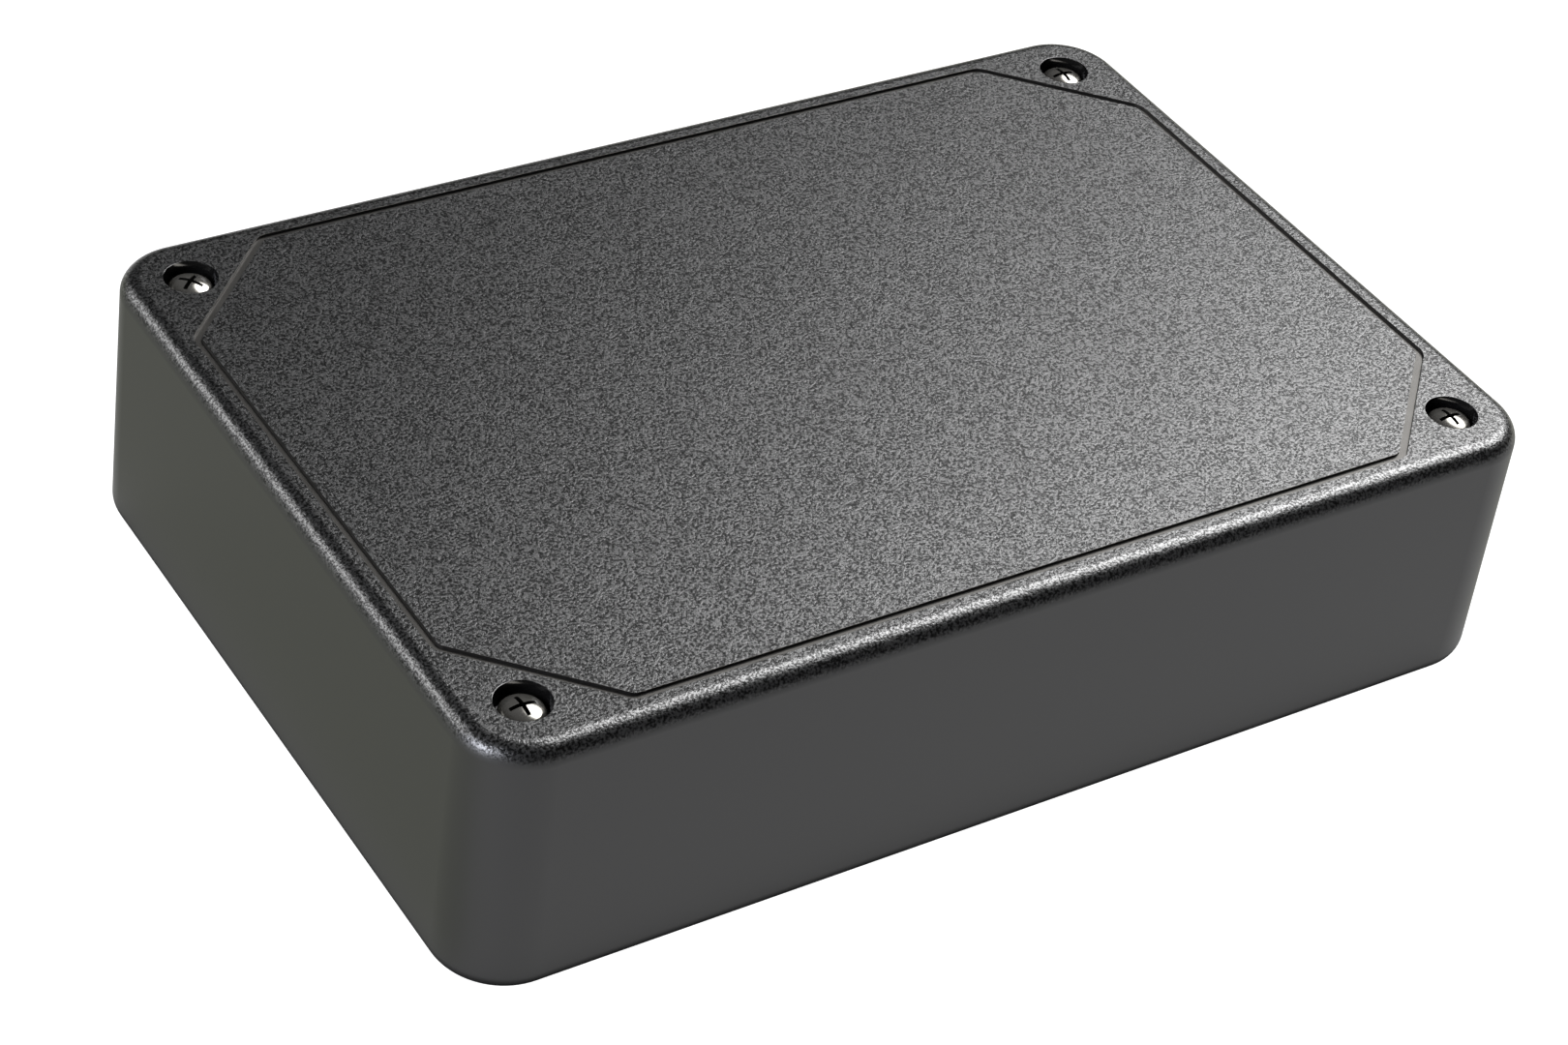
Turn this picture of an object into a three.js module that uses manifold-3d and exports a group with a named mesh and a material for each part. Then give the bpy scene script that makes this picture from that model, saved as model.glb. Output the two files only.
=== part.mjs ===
// Cellular signal booster in a moulded case: millimetres, +Z up.
// The origin is the centre of the flat underside. The ports face +Y, at the back.

import * as THREE from 'three';
import { mergeVertices } from 'three/addons/utils/BufferGeometryUtils.js';
import Module from 'manifold-3d';

const wasm = await Module();
wasm.setup();

// ---------------------------------------------------------------- driving dimensions

// Case, measured at the foot of the walls where not said otherwise.
const CASE_LENGTH = 165;
const CASE_WIDTH = 113.4;
const CASE_HEIGHT = 39.7;
const WALL_LEAN = 0.88;
const CORNER_RADIUS = 10.2;
const TOP_EDGE_RADIUS = 2.75;
const BOTTOM_EDGE_RADIUS = 3.2;
const WALL_THICKNESS = 3;
const TOP_THICKNESS = 2.8;
const CEILING_EDGE_RADIUS = 1;
const CORNER_STEPS = 8;

// Rebate in the rim, which takes the base plate.
const RIM_THICKNESS = 1.8;
const RIM_LAND = 0.4;
const PLATE_THICKNESS = 2.5;
const PLATE_SIDE_GAP = 0.15;
const PLATE_TOP_GAP = 0.1;
const LIP_THICKNESS = 1.2;
const LIP_HEIGHT = 2.6;
const LIP_GAP = 0.3;

// Groove in the top, a rectangle with clipped corners.
const GROOVE_INSET_X = 5.2;
const GROOVE_INSET_Y = 5.3;
const GROOVE_CLIP = 17.7;
const GROOVE_WIDTH = 1.05;
const GROOVE_DEPTH = 0.45;
const GROOVE_BEND = 2.3;

// Cover screws, their wells and the posts that they pull on.
const SCREW_RADIUS = 1.5;
const SCREW_LENGTH = 10;
const HEAD_RADIUS = 3;
const HEAD_RIM_HEIGHT = 1.5;
const HEAD_HEIGHT = 2.4;
const CROSS_SPAN = 4;
const CROSS_WIDTH = 0.85;
const CROSS_DEPTH = 1.4;
const WELL_RADIUS = 3.7;
const WELL_DEPTH = 2.95;
const WELL_FLOOR = 2;
const WELL_WALL = 1.8;
const SCREW_HOLE_CLEARANCE = 0.2;
const THREAD_CLEARANCE = 0.05;
const SCREW_TURNS = [0, 0, 40, 0];

// Shares of a screw's own sizes: its point, the rolled edge of its head and the steps of its dome.
const SCREW_POINT_SHARE = 0.7;
const SCREW_POINT_LENGTH_SHARE = 0.4;
const SCREW_HEAD_EDGE_SHARE = 0.06;
const SCREW_DOME_SHARES = [0.8, 0.5];

const INSERT_RADIUS = 2.1;
const INSERT_LENGTH = 6;
const INSERT_GROOVE = 0.3;
const INSERT_SINK = 0.2;
const INSERT_GAP = 0.02;
const INSERT_GROOVE_SHARES = [0.4, 0.45, 0.55, 0.6];
const POST_TOP_RADIUS = 3.9;
const POST_FOOT_RADIUS = 4.6;
const POST_BORE_SPARE = 1;
const POST_RIB_REACH = 6;
const POST_RIB_HEIGHT = 18;
const POST_RIB_THICKNESS = 1.2;
const POST_RIB_TOE = 1;

// Circuit board and what holds it.
const BOARD_THICKNESS = 1.6;
const BOARD_POST_GAP = 1.2;
const BOARD_LIP_GAP = 2;
const BOARD_CORNER_RADIUS = 2;
const BOARD_SCREW_INSET = 6.5;
const BOARD_SCREW_RADIUS = 1.25;
const BOARD_SCREW_LENGTH = 5;
const BOARD_SCREW_HEAD_RADIUS = 2.3;
const BOARD_SCREW_HEAD_HEIGHT = 1.6;
const BOARD_SCREW_RIM_HEIGHT = 0.96;
const BOARD_SCREW_CROSS_WIDTH = 0.6;
const BOARD_SCREW_CROSS_DEPTH = 0.9;
const STANDOFF_RADIUS = 3;
const STANDOFF_HEIGHT = 4.1;
const STANDOFF_FLOOR = 0.1;

// Parts on the board. Each row is placed from the board edge or from the row before it.
const SHIELD_LENGTH = 36;
const SHIELD_WIDTH = 26;
const SHIELD_HEIGHT = 3.6;
const SHIELD_SHEET = 0.4;
const SHIELD_LID_SKIRT = 2.4;
const SHIELD_LID_GAP = 0.1;
const SHIELD_SPACING = 8;
const SHIELD_EDGE_GAP = 12;
const AMPLIFIER_SIZE = 8;
const AMPLIFIER_HEIGHT = 1;
const DUPLEXER_LENGTH = 20;
const DUPLEXER_WIDTH = 9;
const DUPLEXER_HEIGHT = 6;
const DUPLEXER_BORE = 0.9;
const DUPLEXER_BORES = 4;
const ROW_GAP = 2.5;
const CONTROLLER_SIZE = 10;
const CONTROLLER_HEIGHT = 1.4;
const INDUCTOR_SIZE = 12;
const INDUCTOR_HEIGHT = 6;
const INDUCTOR_CORNER_RADIUS = 2;
const CAPACITOR_RADIUS = 4;
const CAPACITOR_HEIGHT = 10;
const CAPACITOR_BEAD = { height: 1.4, half: 0.5, depth: 0.35 };
const CAPACITOR_TOP_EDGE = 0.4;

// Ports in the back wall. Each has a flat land outside and a flat pad inside.
const PORT_HEIGHT = 17;
const PORT_OUTER_LAND_DEPTH = 0.8;
const PORT_PAD_RISE = 0.58;
const PORT_LAND_RADIUS = 6.5;
const PORT_HOLE_GAP = 0.1;
const ANTENNA_END_INSET = 32.5;
const POWER_X = 12;
const LAMP_XS = [-13, -5];
const LAMP_RISE = 3.5;

// Antenna jack: quarter-inch threaded coaxial bulkhead jack.
const JACK_THREAD_RADIUS = 3.175;
const JACK_THREAD_REACH = 12;
const JACK_MOUTH_RADIUS = 2.3;
const JACK_MOUTH_DEPTH = 1.9;
const JACK_BORE_RADIUS = 2.05;
const JACK_FIT_GAP = 0.03;
const JACK_HEX_FLATS = 8;
const JACK_HEX_THICKNESS = 2;
const JACK_FERRULE_RADIUS = 2.6;
const JACK_FERRULE_LENGTH = 8;
const JACK_CONTACT_RADIUS = 0.64;
const JACK_CONTACT_PROUD = 1.4;
const JACK_CONTACT_SOCKET = 0.45;
const JACK_CONTACT_SOCKET_DEPTH = 3;
const JACK_THREAD_CHAMFER = 0.4;
const JACK_JOIN = 1;
const JACK_JOIN_WALL = 0.2;
const WASHER_THICKNESS = 0.6;
const WASHER_RIM = 1.4;
const NUT_THICKNESS = 2.2;

// Coaxial leads and the right-angle plugs on the board.
const LEAD_RADIUS = 1.25;
const LEAD_RUN = 18;
const LEAD_ENTRY = 1.5;
const LEAD_GAP = 0.3;
const PLUG_RADIUS = 2.6;
const PLUG_HEIGHT = 3.6;
const PLUG_NECK_RADIUS = 1.7;
const PLUG_NECK_LENGTH = 4;
const PLUG_TOP_EDGE = 0.3;
const PLUG_NECK_START_SHARE = 0.8;
const SOCKET_RADIUS = 1.6;
const SOCKET_FOOT = 5.2;
const SOCKET_FOOT_HEIGHT = 0.7;
const SOCKET_HEIGHT = 2.4;
const SOCKET_TOP_GAP = 0.3;

// Power jack for a 5.5 mm barrel plug, its wires and its board plug.
const POWER_THREAD_RADIUS = 4;
const POWER_FLANGE_RADIUS = 5.6;
const POWER_FLANGE_THICKNESS = 2;
const POWER_BORE_RADIUS = 2.9;
const POWER_BORE_DEPTH = 9.5;
const POWER_BODY_LENGTH = 13;
const POWER_PIN_RADIUS = 1;
const POWER_PIN_SINK = 1.2;
const POWER_PIN_TIP = 0.4;
const POWER_THREAD_CHAMFER = 0.4;
const POWER_FLANGE_CHAMFER = 0.5;
const POWER_NUT_FLATS = 11;
const POWER_NUT_THICKNESS = 2;
const POWER_LUG = { width: 1.8, thickness: 0.5, length: 3.2 };
const WIRE_RADIUS = 0.8;
const WIRE_PITCH = 4;
const WIRE_RUN = 12;
const POWER_PLUG = { length: 8, width: 5, height: 5.6 };
const POWER_HEADER = { length: 9.4, width: 6.4, height: 3.2, sheet: 0.5 };

// Status lamps on the back edge of the board and the light pipes in the wall.
const PIPE_RADIUS = 1.5;
const PIPE_HEAD_RADIUS = 2.2;
const PIPE_HEAD_THICKNESS = 0.9;
const PIPE_DOME = 0.3;
const PIPE_LAND_RADIUS = 2.6;
const LAMP_RADIUS = 1.5;
const LAMP_LENGTH = 4.4;
const LAMP_HOLDER = { width: 4.8, depth: 5, height: 5.8 };
const LAMP_FIT_GAP = 0.1;
const LAMP_PIPE_GAP = 0.4;

// Where a low dome is drawn as two slopes: the radius and the drop of the ring between them.
const LAMP_DOME_SHARES = [0.7, 0.3];
const PIPE_DOME_SHARES = [0.6, 0.3];

// How finely curves are drawn, and how far a cutter runs past the face that it opens.
const ROUND_STEPS = 20;
const SMALL_STEPS = 16;
const PIN_STEPS = 12;
const CORD_SIDES = 8;
const LEAD_STEPS = 16;
const WIRE_STEPS = 14;
const TOP_EDGE_STEPS = 5;
const BOTTOM_EDGE_STEPS = 4;
const PLATE_EDGE_STEPS = 3;
const CEILING_EDGE_STEPS = 2;
const BEND_STEPS = 3;
const THROUGH = 20;

// ---------------------------------------------------------------- sizes worked out from them

const LEAN = WALL_LEAN / CASE_HEIGHT;
const SLANT = Math.hypot(1, LEAN);
const SCREW_X = CASE_LENGTH / 2 - CORNER_RADIUS;
const SCREW_Y = CASE_WIDTH / 2 - CORNER_RADIUS;
const CORNERS = [[-1, -1], [1, -1], [-1, 1], [1, 1]];
const SEAT_Z = CASE_HEIGHT - WELL_DEPTH;
const POST_TOP_Z = SEAT_Z - WELL_FLOOR;
const PLATE_INSET = RIM_THICKNESS + PLATE_SIDE_GAP;
const LIP_INSET = WALL_THICKNESS + LIP_GAP;
const STANDOFF_TOP_Z = PLATE_THICKNESS + STANDOFF_HEIGHT;
const BOARD_TOP_Z = STANDOFF_TOP_Z + BOARD_THICKNESS;
const BOARD_LENGTH = 2 * (SCREW_X - POST_FOOT_RADIUS - BOARD_POST_GAP);
const BOARD_WIDTH = CASE_WIDTH - 2 * (LIP_INSET + LIP_THICKNESS + BOARD_LIP_GAP);
const BOARD_SCREW_X = BOARD_LENGTH / 2 - BOARD_SCREW_INSET;
const BOARD_SCREW_Y = BOARD_WIDTH / 2 - BOARD_SCREW_INSET;

const SHIELD_X = (SHIELD_SPACING + SHIELD_LENGTH) / 2;
const SHIELD_Y = -BOARD_WIDTH / 2 + SHIELD_EDGE_GAP + SHIELD_WIDTH / 2;
const DUPLEXER_X = CONTROLLER_SIZE / 2 + ROW_GAP + DUPLEXER_LENGTH / 2;
const DUPLEXER_Y = SHIELD_Y + SHIELD_WIDTH / 2 + ROW_GAP + DUPLEXER_WIDTH / 2;

const LAND_Y = CASE_WIDTH / 2 - PORT_OUTER_LAND_DEPTH;
const PAD_INSET = LEAN * (PORT_HEIGHT + PORT_LAND_RADIUS) + WALL_THICKNESS * SLANT + PORT_PAD_RISE;
const PAD_Y = CASE_WIDTH / 2 - PAD_INSET;
const ANTENNA_X = CASE_LENGTH / 2 - ANTENNA_END_INSET;
const LAMP_Z = BOARD_TOP_Z + LAMP_RISE;
const LEAD_START_Y = PAD_Y - JACK_HEX_THICKNESS - JACK_FERRULE_LENGTH;
const SOCKET_Y = LEAD_START_Y - LEAD_RUN - PLUG_NECK_LENGTH - PLUG_RADIUS;
const PLUG_Z = BOARD_TOP_Z + SOCKET_FOOT_HEIGHT;
const WIRE_START_Y = LAND_Y - POWER_BODY_LENGTH - POWER_LUG.length;
const POWER_PLUG_Y = WIRE_START_Y - WIRE_RUN - POWER_PLUG.width / 2;
const POWER_PLUG_Z = BOARD_TOP_Z + POWER_HEADER.sheet;
const WIRE_END_Z = BOARD_TOP_Z + POWER_HEADER.height + WIRE_RADIUS + 2 * LEAD_GAP;
const INDUCTOR_X = POWER_X - POWER_HEADER.length / 2 - ROW_GAP - INDUCTOR_SIZE / 2;
const CAPACITOR_STEP = 2 * CAPACITOR_RADIUS + ROW_GAP;
const CAPACITOR_X = INDUCTOR_X - INDUCTOR_SIZE / 2 - ROW_GAP - CAPACITOR_RADIUS;

// ---------------------------------------------------------------- materials

function finish(color, roughness, metalness = 0) {
  return new THREE.MeshStandardMaterial({ color, roughness, metalness });
}

const FINISH = {
  cover: finish(0x2b2b2b, 0.5),
  plate: finish(0x242424, 0.55),
  nickel: finish(0xb9babb, 0.25, 1),
  steel: finish(0x8f9397, 0.35, 1),
  brass: finish(0xb08d45, 0.35, 1),
  gold: finish(0xc9a24b, 0.25, 1),
  board: finish(0x1c5a34, 0.45),
  shield: finish(0xa7abad, 0.4, 1),
  chip: finish(0x1d1d1f, 0.6),
  ceramic: finish(0xc9c3b0, 0.5),
  ferrite: finish(0x3a3c40, 0.7),
  aluminium: finish(0x9ea2a6, 0.35, 1),
  insulator: finish(0xe9e6dc, 0.5),
  lead: finish(0x7a5a3a, 0.45),
  blackPlastic: finish(0x151515, 0.5),
  whitePlastic: finish(0xe4e0d2, 0.5),
  redWire: finish(0xb02020, 0.45),
  blackWire: finish(0x1a1a1a, 0.45),
  clear: finish(0xdfe6e8, 0.15),
  greenLamp: finish(0x4f9a4a, 0.3),
};

// ---------------------------------------------------------------- shape helpers

/** A three.js geometry as a manifold solid. */
function solid(geometry) {
  const bare = geometry.clone();
  bare.deleteAttribute('normal');
  bare.deleteAttribute('uv');
  const merged = mergeVertices(bare, 1e-5);
  const index = merged.getIndex().array;
  const faces = [];
  for (let i = 0; i < index.length; i += 3) {
    const [a, b, c] = [index[i], index[i + 1], index[i + 2]];
    if (a !== b && b !== c && c !== a) {
      faces.push(a, b, c);
    }
  }
  return new wasm.Manifold(new wasm.Mesh({
    numProp: 3,
    vertProperties: new Float32Array(merged.getAttribute('position').array),
    triVerts: new Uint32Array(faces),
  }));
}

/** A manifold solid as a three.js geometry. */
function geometryOf(body) {
  const mesh = body.getMesh();
  const geometry = new THREE.BufferGeometry();
  geometry.setAttribute('position', new THREE.BufferAttribute(mesh.vertProperties, 3));
  geometry.setIndex(new THREE.BufferAttribute(mesh.triVerts, 1));
  return geometry;
}

/** The first geometry with some joined to it and then others cut from it. */
function combine(start, added, removed) {
  let body = solid(start);
  for (const geometry of added) {
    body = body.add(solid(geometry));
  }
  for (const geometry of removed) {
    body = body.subtract(solid(geometry));
  }
  return geometryOf(body);
}

/** Corners of a convex counter-clockwise outline replaced by arcs that touch both sides. */
function roundCorners(corners, radius, steps) {
  const points = [];
  corners.forEach((corner, i) => {
    const toLast = corners[(i + corners.length - 1) % corners.length].clone().sub(corner).normalize();
    const toNext = corners[(i + 1) % corners.length].clone().sub(corner).normalize();
    const halfAngle = Math.acos(toLast.dot(toNext)) / 2;
    const middle = toLast.clone().add(toNext).normalize();
    const centre = corner.clone().addScaledVector(middle, radius / Math.sin(halfAngle));
    const firstAngle = Math.atan2(toLast.x, -toLast.y);
    for (let step = 0; step <= steps; step += 1) {
      const angle = firstAngle + ((Math.PI - 2 * halfAngle) * step) / steps;
      points.push(new THREE.Vector2(
        centre.x + radius * Math.cos(angle),
        centre.y + radius * Math.sin(angle),
      ));
    }
  });
  return points;
}

/** Rounded rectangle, counter-clockwise, about a centre. */
function roundedRectangle(halfX, halfY, radius, steps, centreX = 0, centreY = 0) {
  const corners = [[-1, -1], [1, -1], [1, 1], [-1, 1]].map(([sideX, sideY]) => (
    new THREE.Vector2(centreX + sideX * halfX, centreY + sideY * halfY)
  ));
  return roundCorners(corners, radius, steps);
}

/** Outline of the case, moved in by an inset from the foot of the walls. */
function caseOutline(inset) {
  return roundedRectangle(
    CASE_LENGTH / 2 - inset,
    CASE_WIDTH / 2 - inset,
    CORNER_RADIUS - inset,
    CORNER_STEPS,
  );
}

/** Closed body through outlines that all have the same number of points. */
function loft(rings) {
  const count = rings[0].outline.length;
  const positions = [];
  const faces = [];
  for (const ring of rings) {
    for (const point of ring.outline) {
      positions.push(point.x, point.y, ring.z);
    }
  }
  for (let level = 0; level + 1 < rings.length; level += 1) {
    for (let i = 0; i < count; i += 1) {
      const a = level * count + i;
      const b = level * count + ((i + 1) % count);
      faces.push(a, b, b + count, a, b + count, a + count);
    }
  }
  const last = (rings.length - 1) * count;
  for (const [a, b, c] of THREE.ShapeUtils.triangulateShape(rings[0].outline, [])) {
    faces.push(a, c, b);
    faces.push(last + a, last + b, last + c);
  }
  const geometry = new THREE.BufferGeometry();
  geometry.setAttribute('position', new THREE.Float32BufferAttribute(positions, 3));
  geometry.setIndex(faces);
  return geometry;
}

/** Body through the case outline at a list of { inset, z }. */
function caseLoft(levels) {
  return loft(levels.map(({ inset, z }) => ({ outline: caseOutline(inset), z })));
}

/** Straight prism from one outline, with an optional hole. */
function prism(outline, fromZ, toZ, hole = null) {
  const shape = new THREE.Shape(outline);
  if (hole) {
    shape.holes.push(new THREE.Path(hole));
  }
  const geometry = new THREE.ExtrudeGeometry(shape, { depth: toZ - fromZ, bevelEnabled: false });
  geometry.translate(0, 0, fromZ);
  return geometry;
}

/** Box between two heights. */
function block(lengthX, lengthY, fromZ, toZ, centreX = 0, centreY = 0) {
  const geometry = new THREE.BoxGeometry(lengthX, lengthY, toZ - fromZ);
  geometry.translate(centreX, centreY, (fromZ + toZ) / 2);
  return geometry;
}

/** Turned piece about the Z axis from [radius, z] points. */
function turnedUp(profile, steps, centreX = 0, centreY = 0) {
  const points = profile.map(([radius, z]) => new THREE.Vector2(radius, z));
  const geometry = new THREE.LatheGeometry(points, steps);
  geometry.rotateX(Math.PI / 2);
  geometry.translate(centreX, centreY, 0);
  return geometry;
}

/** Turned piece about a line along +Y from [radius, y] points. */
function turnedBack(profile, steps, centreX, centreZ) {
  const points = profile.map(([radius, y]) => new THREE.Vector2(radius, y));
  const geometry = new THREE.LatheGeometry(points, steps);
  geometry.translate(centreX, 0, centreZ);
  return geometry;
}

/** Profile of a plain round bar. */
function bar(radius, from, to) {
  return [[0, from], [radius, from], [radius, to], [0, to]];
}

/** Profile of a plain ring. */
function ring(innerRadius, outerRadius, from, to) {
  return [
    [innerRadius, from],
    [outerRadius, from],
    [outerRadius, to],
    [innerRadius, to],
    [innerRadius, from],
  ];
}

/** Hexagonal bar about a line along +Y. */
function hexBack(flats, fromY, toY, centreX, centreZ) {
  return turnedBack(bar(flats / Math.sqrt(3), fromY, toY), 6, centreX, centreZ);
}

/** Round cord along a curve. */
function cord(curve, radius, sides, steps) {
  const section = new THREE.Shape();
  section.absarc(0, 0, radius, 0, 2 * Math.PI);
  const outline = section.getSpacedPoints(sides).slice(0, sides);
  const geometry = new THREE.ExtrudeGeometry(new THREE.Shape(outline), {
    steps,
    extrudePath: curve,
    bevelEnabled: false,
  });
  const body = solid(geometry);
  return geometryOf(body);
}

// ---------------------------------------------------------------- case

/** Inset of the walls' outer face at a height. */
function wallInset(z) {
  return LEAN * z;
}

/** Arc that touches the leaning wall, offset inwards by a depth, as { inset, z } points. */
function edgeArc(radius, centreZ, fromAngle, toAngle, steps, depth = 0) {
  const centreInset = wallInset(centreZ) + (radius + depth) * SLANT;
  const levels = [];
  for (let step = 0; step <= steps; step += 1) {
    const angle = fromAngle + ((toAngle - fromAngle) * step) / steps;
    levels.push({
      inset: centreInset - radius * Math.cos(angle),
      z: centreZ + radius * Math.sin(angle),
    });
  }
  return levels;
}

/** Angle on the rounded bottom edge where it reaches an inset. */
function bottomEdgeAngle(inset) {
  const centreInset = wallInset(BOTTOM_EDGE_RADIUS) + BOTTOM_EDGE_RADIUS * SLANT;
  return -Math.acos((centreInset - inset) / BOTTOM_EDGE_RADIUS);
}

/** The groove's line, a clipped rectangle, moved out by an offset. */
function grooveOutline(offset) {
  const halfX = CASE_LENGTH / 2 - GROOVE_INSET_X + offset;
  const halfY = CASE_WIDTH / 2 - GROOVE_INSET_Y + offset;
  const clip = GROOVE_CLIP + offset * (2 - Math.SQRT2);
  const corners = [
    new THREE.Vector2(halfX - clip, -halfY),
    new THREE.Vector2(halfX, -halfY + clip),
    new THREE.Vector2(halfX, halfY - clip),
    new THREE.Vector2(halfX - clip, halfY),
    new THREE.Vector2(-halfX + clip, halfY),
    new THREE.Vector2(-halfX, halfY - clip),
    new THREE.Vector2(-halfX, -halfY + clip),
    new THREE.Vector2(-halfX + clip, -halfY),
  ];
  return roundCorners(corners, GROOVE_BEND + offset, BEND_STEPS);
}

/** The ports: place, hole and land of each. */
const ANTENNA_HOLE_RADIUS = JACK_THREAD_RADIUS + PORT_HOLE_GAP;
const PORTS = [
  { x: -ANTENNA_X, z: PORT_HEIGHT, hole: ANTENNA_HOLE_RADIUS, land: PORT_LAND_RADIUS, pad: true },
  { x: ANTENNA_X, z: PORT_HEIGHT, hole: ANTENNA_HOLE_RADIUS, land: PORT_LAND_RADIUS, pad: true },
  {
    x: POWER_X,
    z: PORT_HEIGHT,
    hole: POWER_THREAD_RADIUS + PORT_HOLE_GAP,
    land: POWER_FLANGE_RADIUS + 2 * PORT_HOLE_GAP,
    pad: true,
  },
  ...LAMP_XS.map((x) => ({
    x,
    z: LAMP_Z,
    hole: PIPE_RADIUS + PORT_HOLE_GAP,
    land: PIPE_LAND_RADIUS,
    pad: false,
  })),
];

/** Deep shell: top and four leaning walls in one moulding. */
function makeTopCover() {
  const wallAngle = Math.atan(LEAN);
  const ceilingZ = CASE_HEIGHT - TOP_THICKNESS;
  const outside = caseLoft([
    ...edgeArc(
      BOTTOM_EDGE_RADIUS,
      BOTTOM_EDGE_RADIUS,
      bottomEdgeAngle(RIM_THICKNESS - RIM_LAND),
      wallAngle,
      BOTTOM_EDGE_STEPS,
    ),
    ...edgeArc(
      TOP_EDGE_RADIUS,
      CASE_HEIGHT - TOP_EDGE_RADIUS,
      wallAngle,
      Math.PI / 2,
      TOP_EDGE_STEPS,
    ),
  ]);
  const inside = caseLoft([
    { inset: WALL_THICKNESS * SLANT, z: -1 },
    ...edgeArc(
      CEILING_EDGE_RADIUS,
      ceilingZ - CEILING_EDGE_RADIUS,
      wallAngle,
      Math.PI / 2,
      CEILING_EDGE_STEPS,
      WALL_THICKNESS,
    ),
  ]);
  const rebate = prism(caseOutline(RIM_THICKNESS), -1, PLATE_THICKNESS + PLATE_TOP_GAP);
  const hollow = combine(outside, [], [inside, rebate]);
  const added = [];
  const removed = [
    prism(
      grooveOutline(GROOVE_WIDTH / 2),
      CASE_HEIGHT - GROOVE_DEPTH,
      CASE_HEIGHT + 1,
      grooveOutline(-GROOVE_WIDTH / 2),
    ),
  ];
  for (const [sideX, sideY] of CORNERS) {
    const [x, y] = [sideX * SCREW_X, sideY * SCREW_Y];
    added.push(turnedUp(bar(WELL_RADIUS + WELL_WALL, POST_TOP_Z, ceilingZ + 1), ROUND_STEPS, x, y));
    removed.push(turnedUp(bar(WELL_RADIUS, SEAT_Z, CASE_HEIGHT + 1), ROUND_STEPS, x, y));
    removed.push(turnedUp(
      bar(SCREW_RADIUS + SCREW_HOLE_CLEARANCE, POST_TOP_Z - 1, SEAT_Z + 1),
      SMALL_STEPS,
      x,
      y,
    ));
  }
  for (const port of PORTS) {
    if (port.pad) {
      added.push(turnedBack(bar(port.land, PAD_Y, LAND_Y - 1), ROUND_STEPS, port.x, port.z));
    }
    removed.push(turnedBack(bar(port.land, LAND_Y, LAND_Y + THROUGH), ROUND_STEPS, port.x, port.z));
    removed.push(turnedBack(
      bar(port.hole, PAD_Y - 1, LAND_Y + THROUGH),
      SMALL_STEPS,
      port.x,
      port.z,
    ));
  }
  return combine(hollow, added, removed);
}

/** Flat plate that closes the cover, with its lip, posts and standoffs. */
function makeBasePlate() {
  const plate = caseLoft([
    ...edgeArc(
      BOTTOM_EDGE_RADIUS,
      BOTTOM_EDGE_RADIUS,
      -Math.PI / 2,
      bottomEdgeAngle(PLATE_INSET),
      PLATE_EDGE_STEPS,
    ),
    { inset: PLATE_INSET, z: PLATE_THICKNESS },
  ]);
  const rooted = PLATE_THICKNESS / 2;
  const added = [
    prism(
      caseOutline(LIP_INSET),
      rooted,
      PLATE_THICKNESS + LIP_HEIGHT,
      caseOutline(LIP_INSET + LIP_THICKNESS),
    ),
  ];
  const removed = [];
  for (const [sideX, sideY] of CORNERS) {
    const [x, y] = [sideX * SCREW_X, sideY * SCREW_Y];
    const post = [
      [0, rooted],
      [POST_FOOT_RADIUS, rooted],
      [POST_TOP_RADIUS, POST_TOP_Z],
      [0, POST_TOP_Z],
    ];
    added.push(turnedUp(post, ROUND_STEPS, x, y));
    added.push(makePostRib(x, y, sideY));
    const insertFootZ = POST_TOP_Z - INSERT_SINK - INSERT_LENGTH;
    const boreFootZ = SEAT_Z - SCREW_LENGTH - POST_BORE_SPARE;
    removed.push(turnedUp(
      bar(INSERT_RADIUS + INSERT_GAP, insertFootZ, POST_TOP_Z + 1),
      SMALL_STEPS,
      x,
      y,
    ));
    removed.push(turnedUp(
      bar(SCREW_RADIUS + THREAD_CLEARANCE, boreFootZ, POST_TOP_Z + 1),
      SMALL_STEPS,
      x,
      y,
    ));
    const [boardX, boardY] = [sideX * BOARD_SCREW_X, sideY * BOARD_SCREW_Y];
    added.push(turnedUp(bar(STANDOFF_RADIUS, rooted, STANDOFF_TOP_Z), SMALL_STEPS, boardX, boardY));
    removed.push(turnedUp(
      bar(BOARD_SCREW_RADIUS + THREAD_CLEARANCE, PLATE_THICKNESS + STANDOFF_FLOOR, STANDOFF_TOP_Z + 1),
      SMALL_STEPS,
      boardX,
      boardY,
    ));
  }
  return combine(plate, added, removed);
}

/** Sloping rib that props a post from the side nearer the middle of the case. */
function makePostRib(x, y, sideY) {
  const rooted = PLATE_THICKNESS / 2;
  const outline = [
    new THREE.Vector2(0, rooted),
    new THREE.Vector2(POST_FOOT_RADIUS + POST_RIB_REACH, rooted),
    new THREE.Vector2(POST_FOOT_RADIUS + POST_RIB_REACH, PLATE_THICKNESS + POST_RIB_TOE),
    new THREE.Vector2(POST_FOOT_RADIUS / 2, PLATE_THICKNESS + POST_RIB_HEIGHT),
    new THREE.Vector2(0, PLATE_THICKNESS + POST_RIB_HEIGHT),
  ];
  const rib = new THREE.ExtrudeGeometry(new THREE.Shape(outline), {
    depth: POST_RIB_THICKNESS,
    bevelEnabled: false,
  });
  rib.translate(0, 0, -POST_RIB_THICKNESS / 2);
  rib.rotateX(Math.PI / 2);
  rib.rotateZ((-sideY * Math.PI) / 2);
  rib.translate(x, y, 0);
  return combine(rib, [], [
    turnedUp(bar(POST_FOOT_RADIUS / 2, rooted - 1, POST_TOP_Z), SMALL_STEPS, x, y),
  ]);
}

// ---------------------------------------------------------------- fasteners

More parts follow.
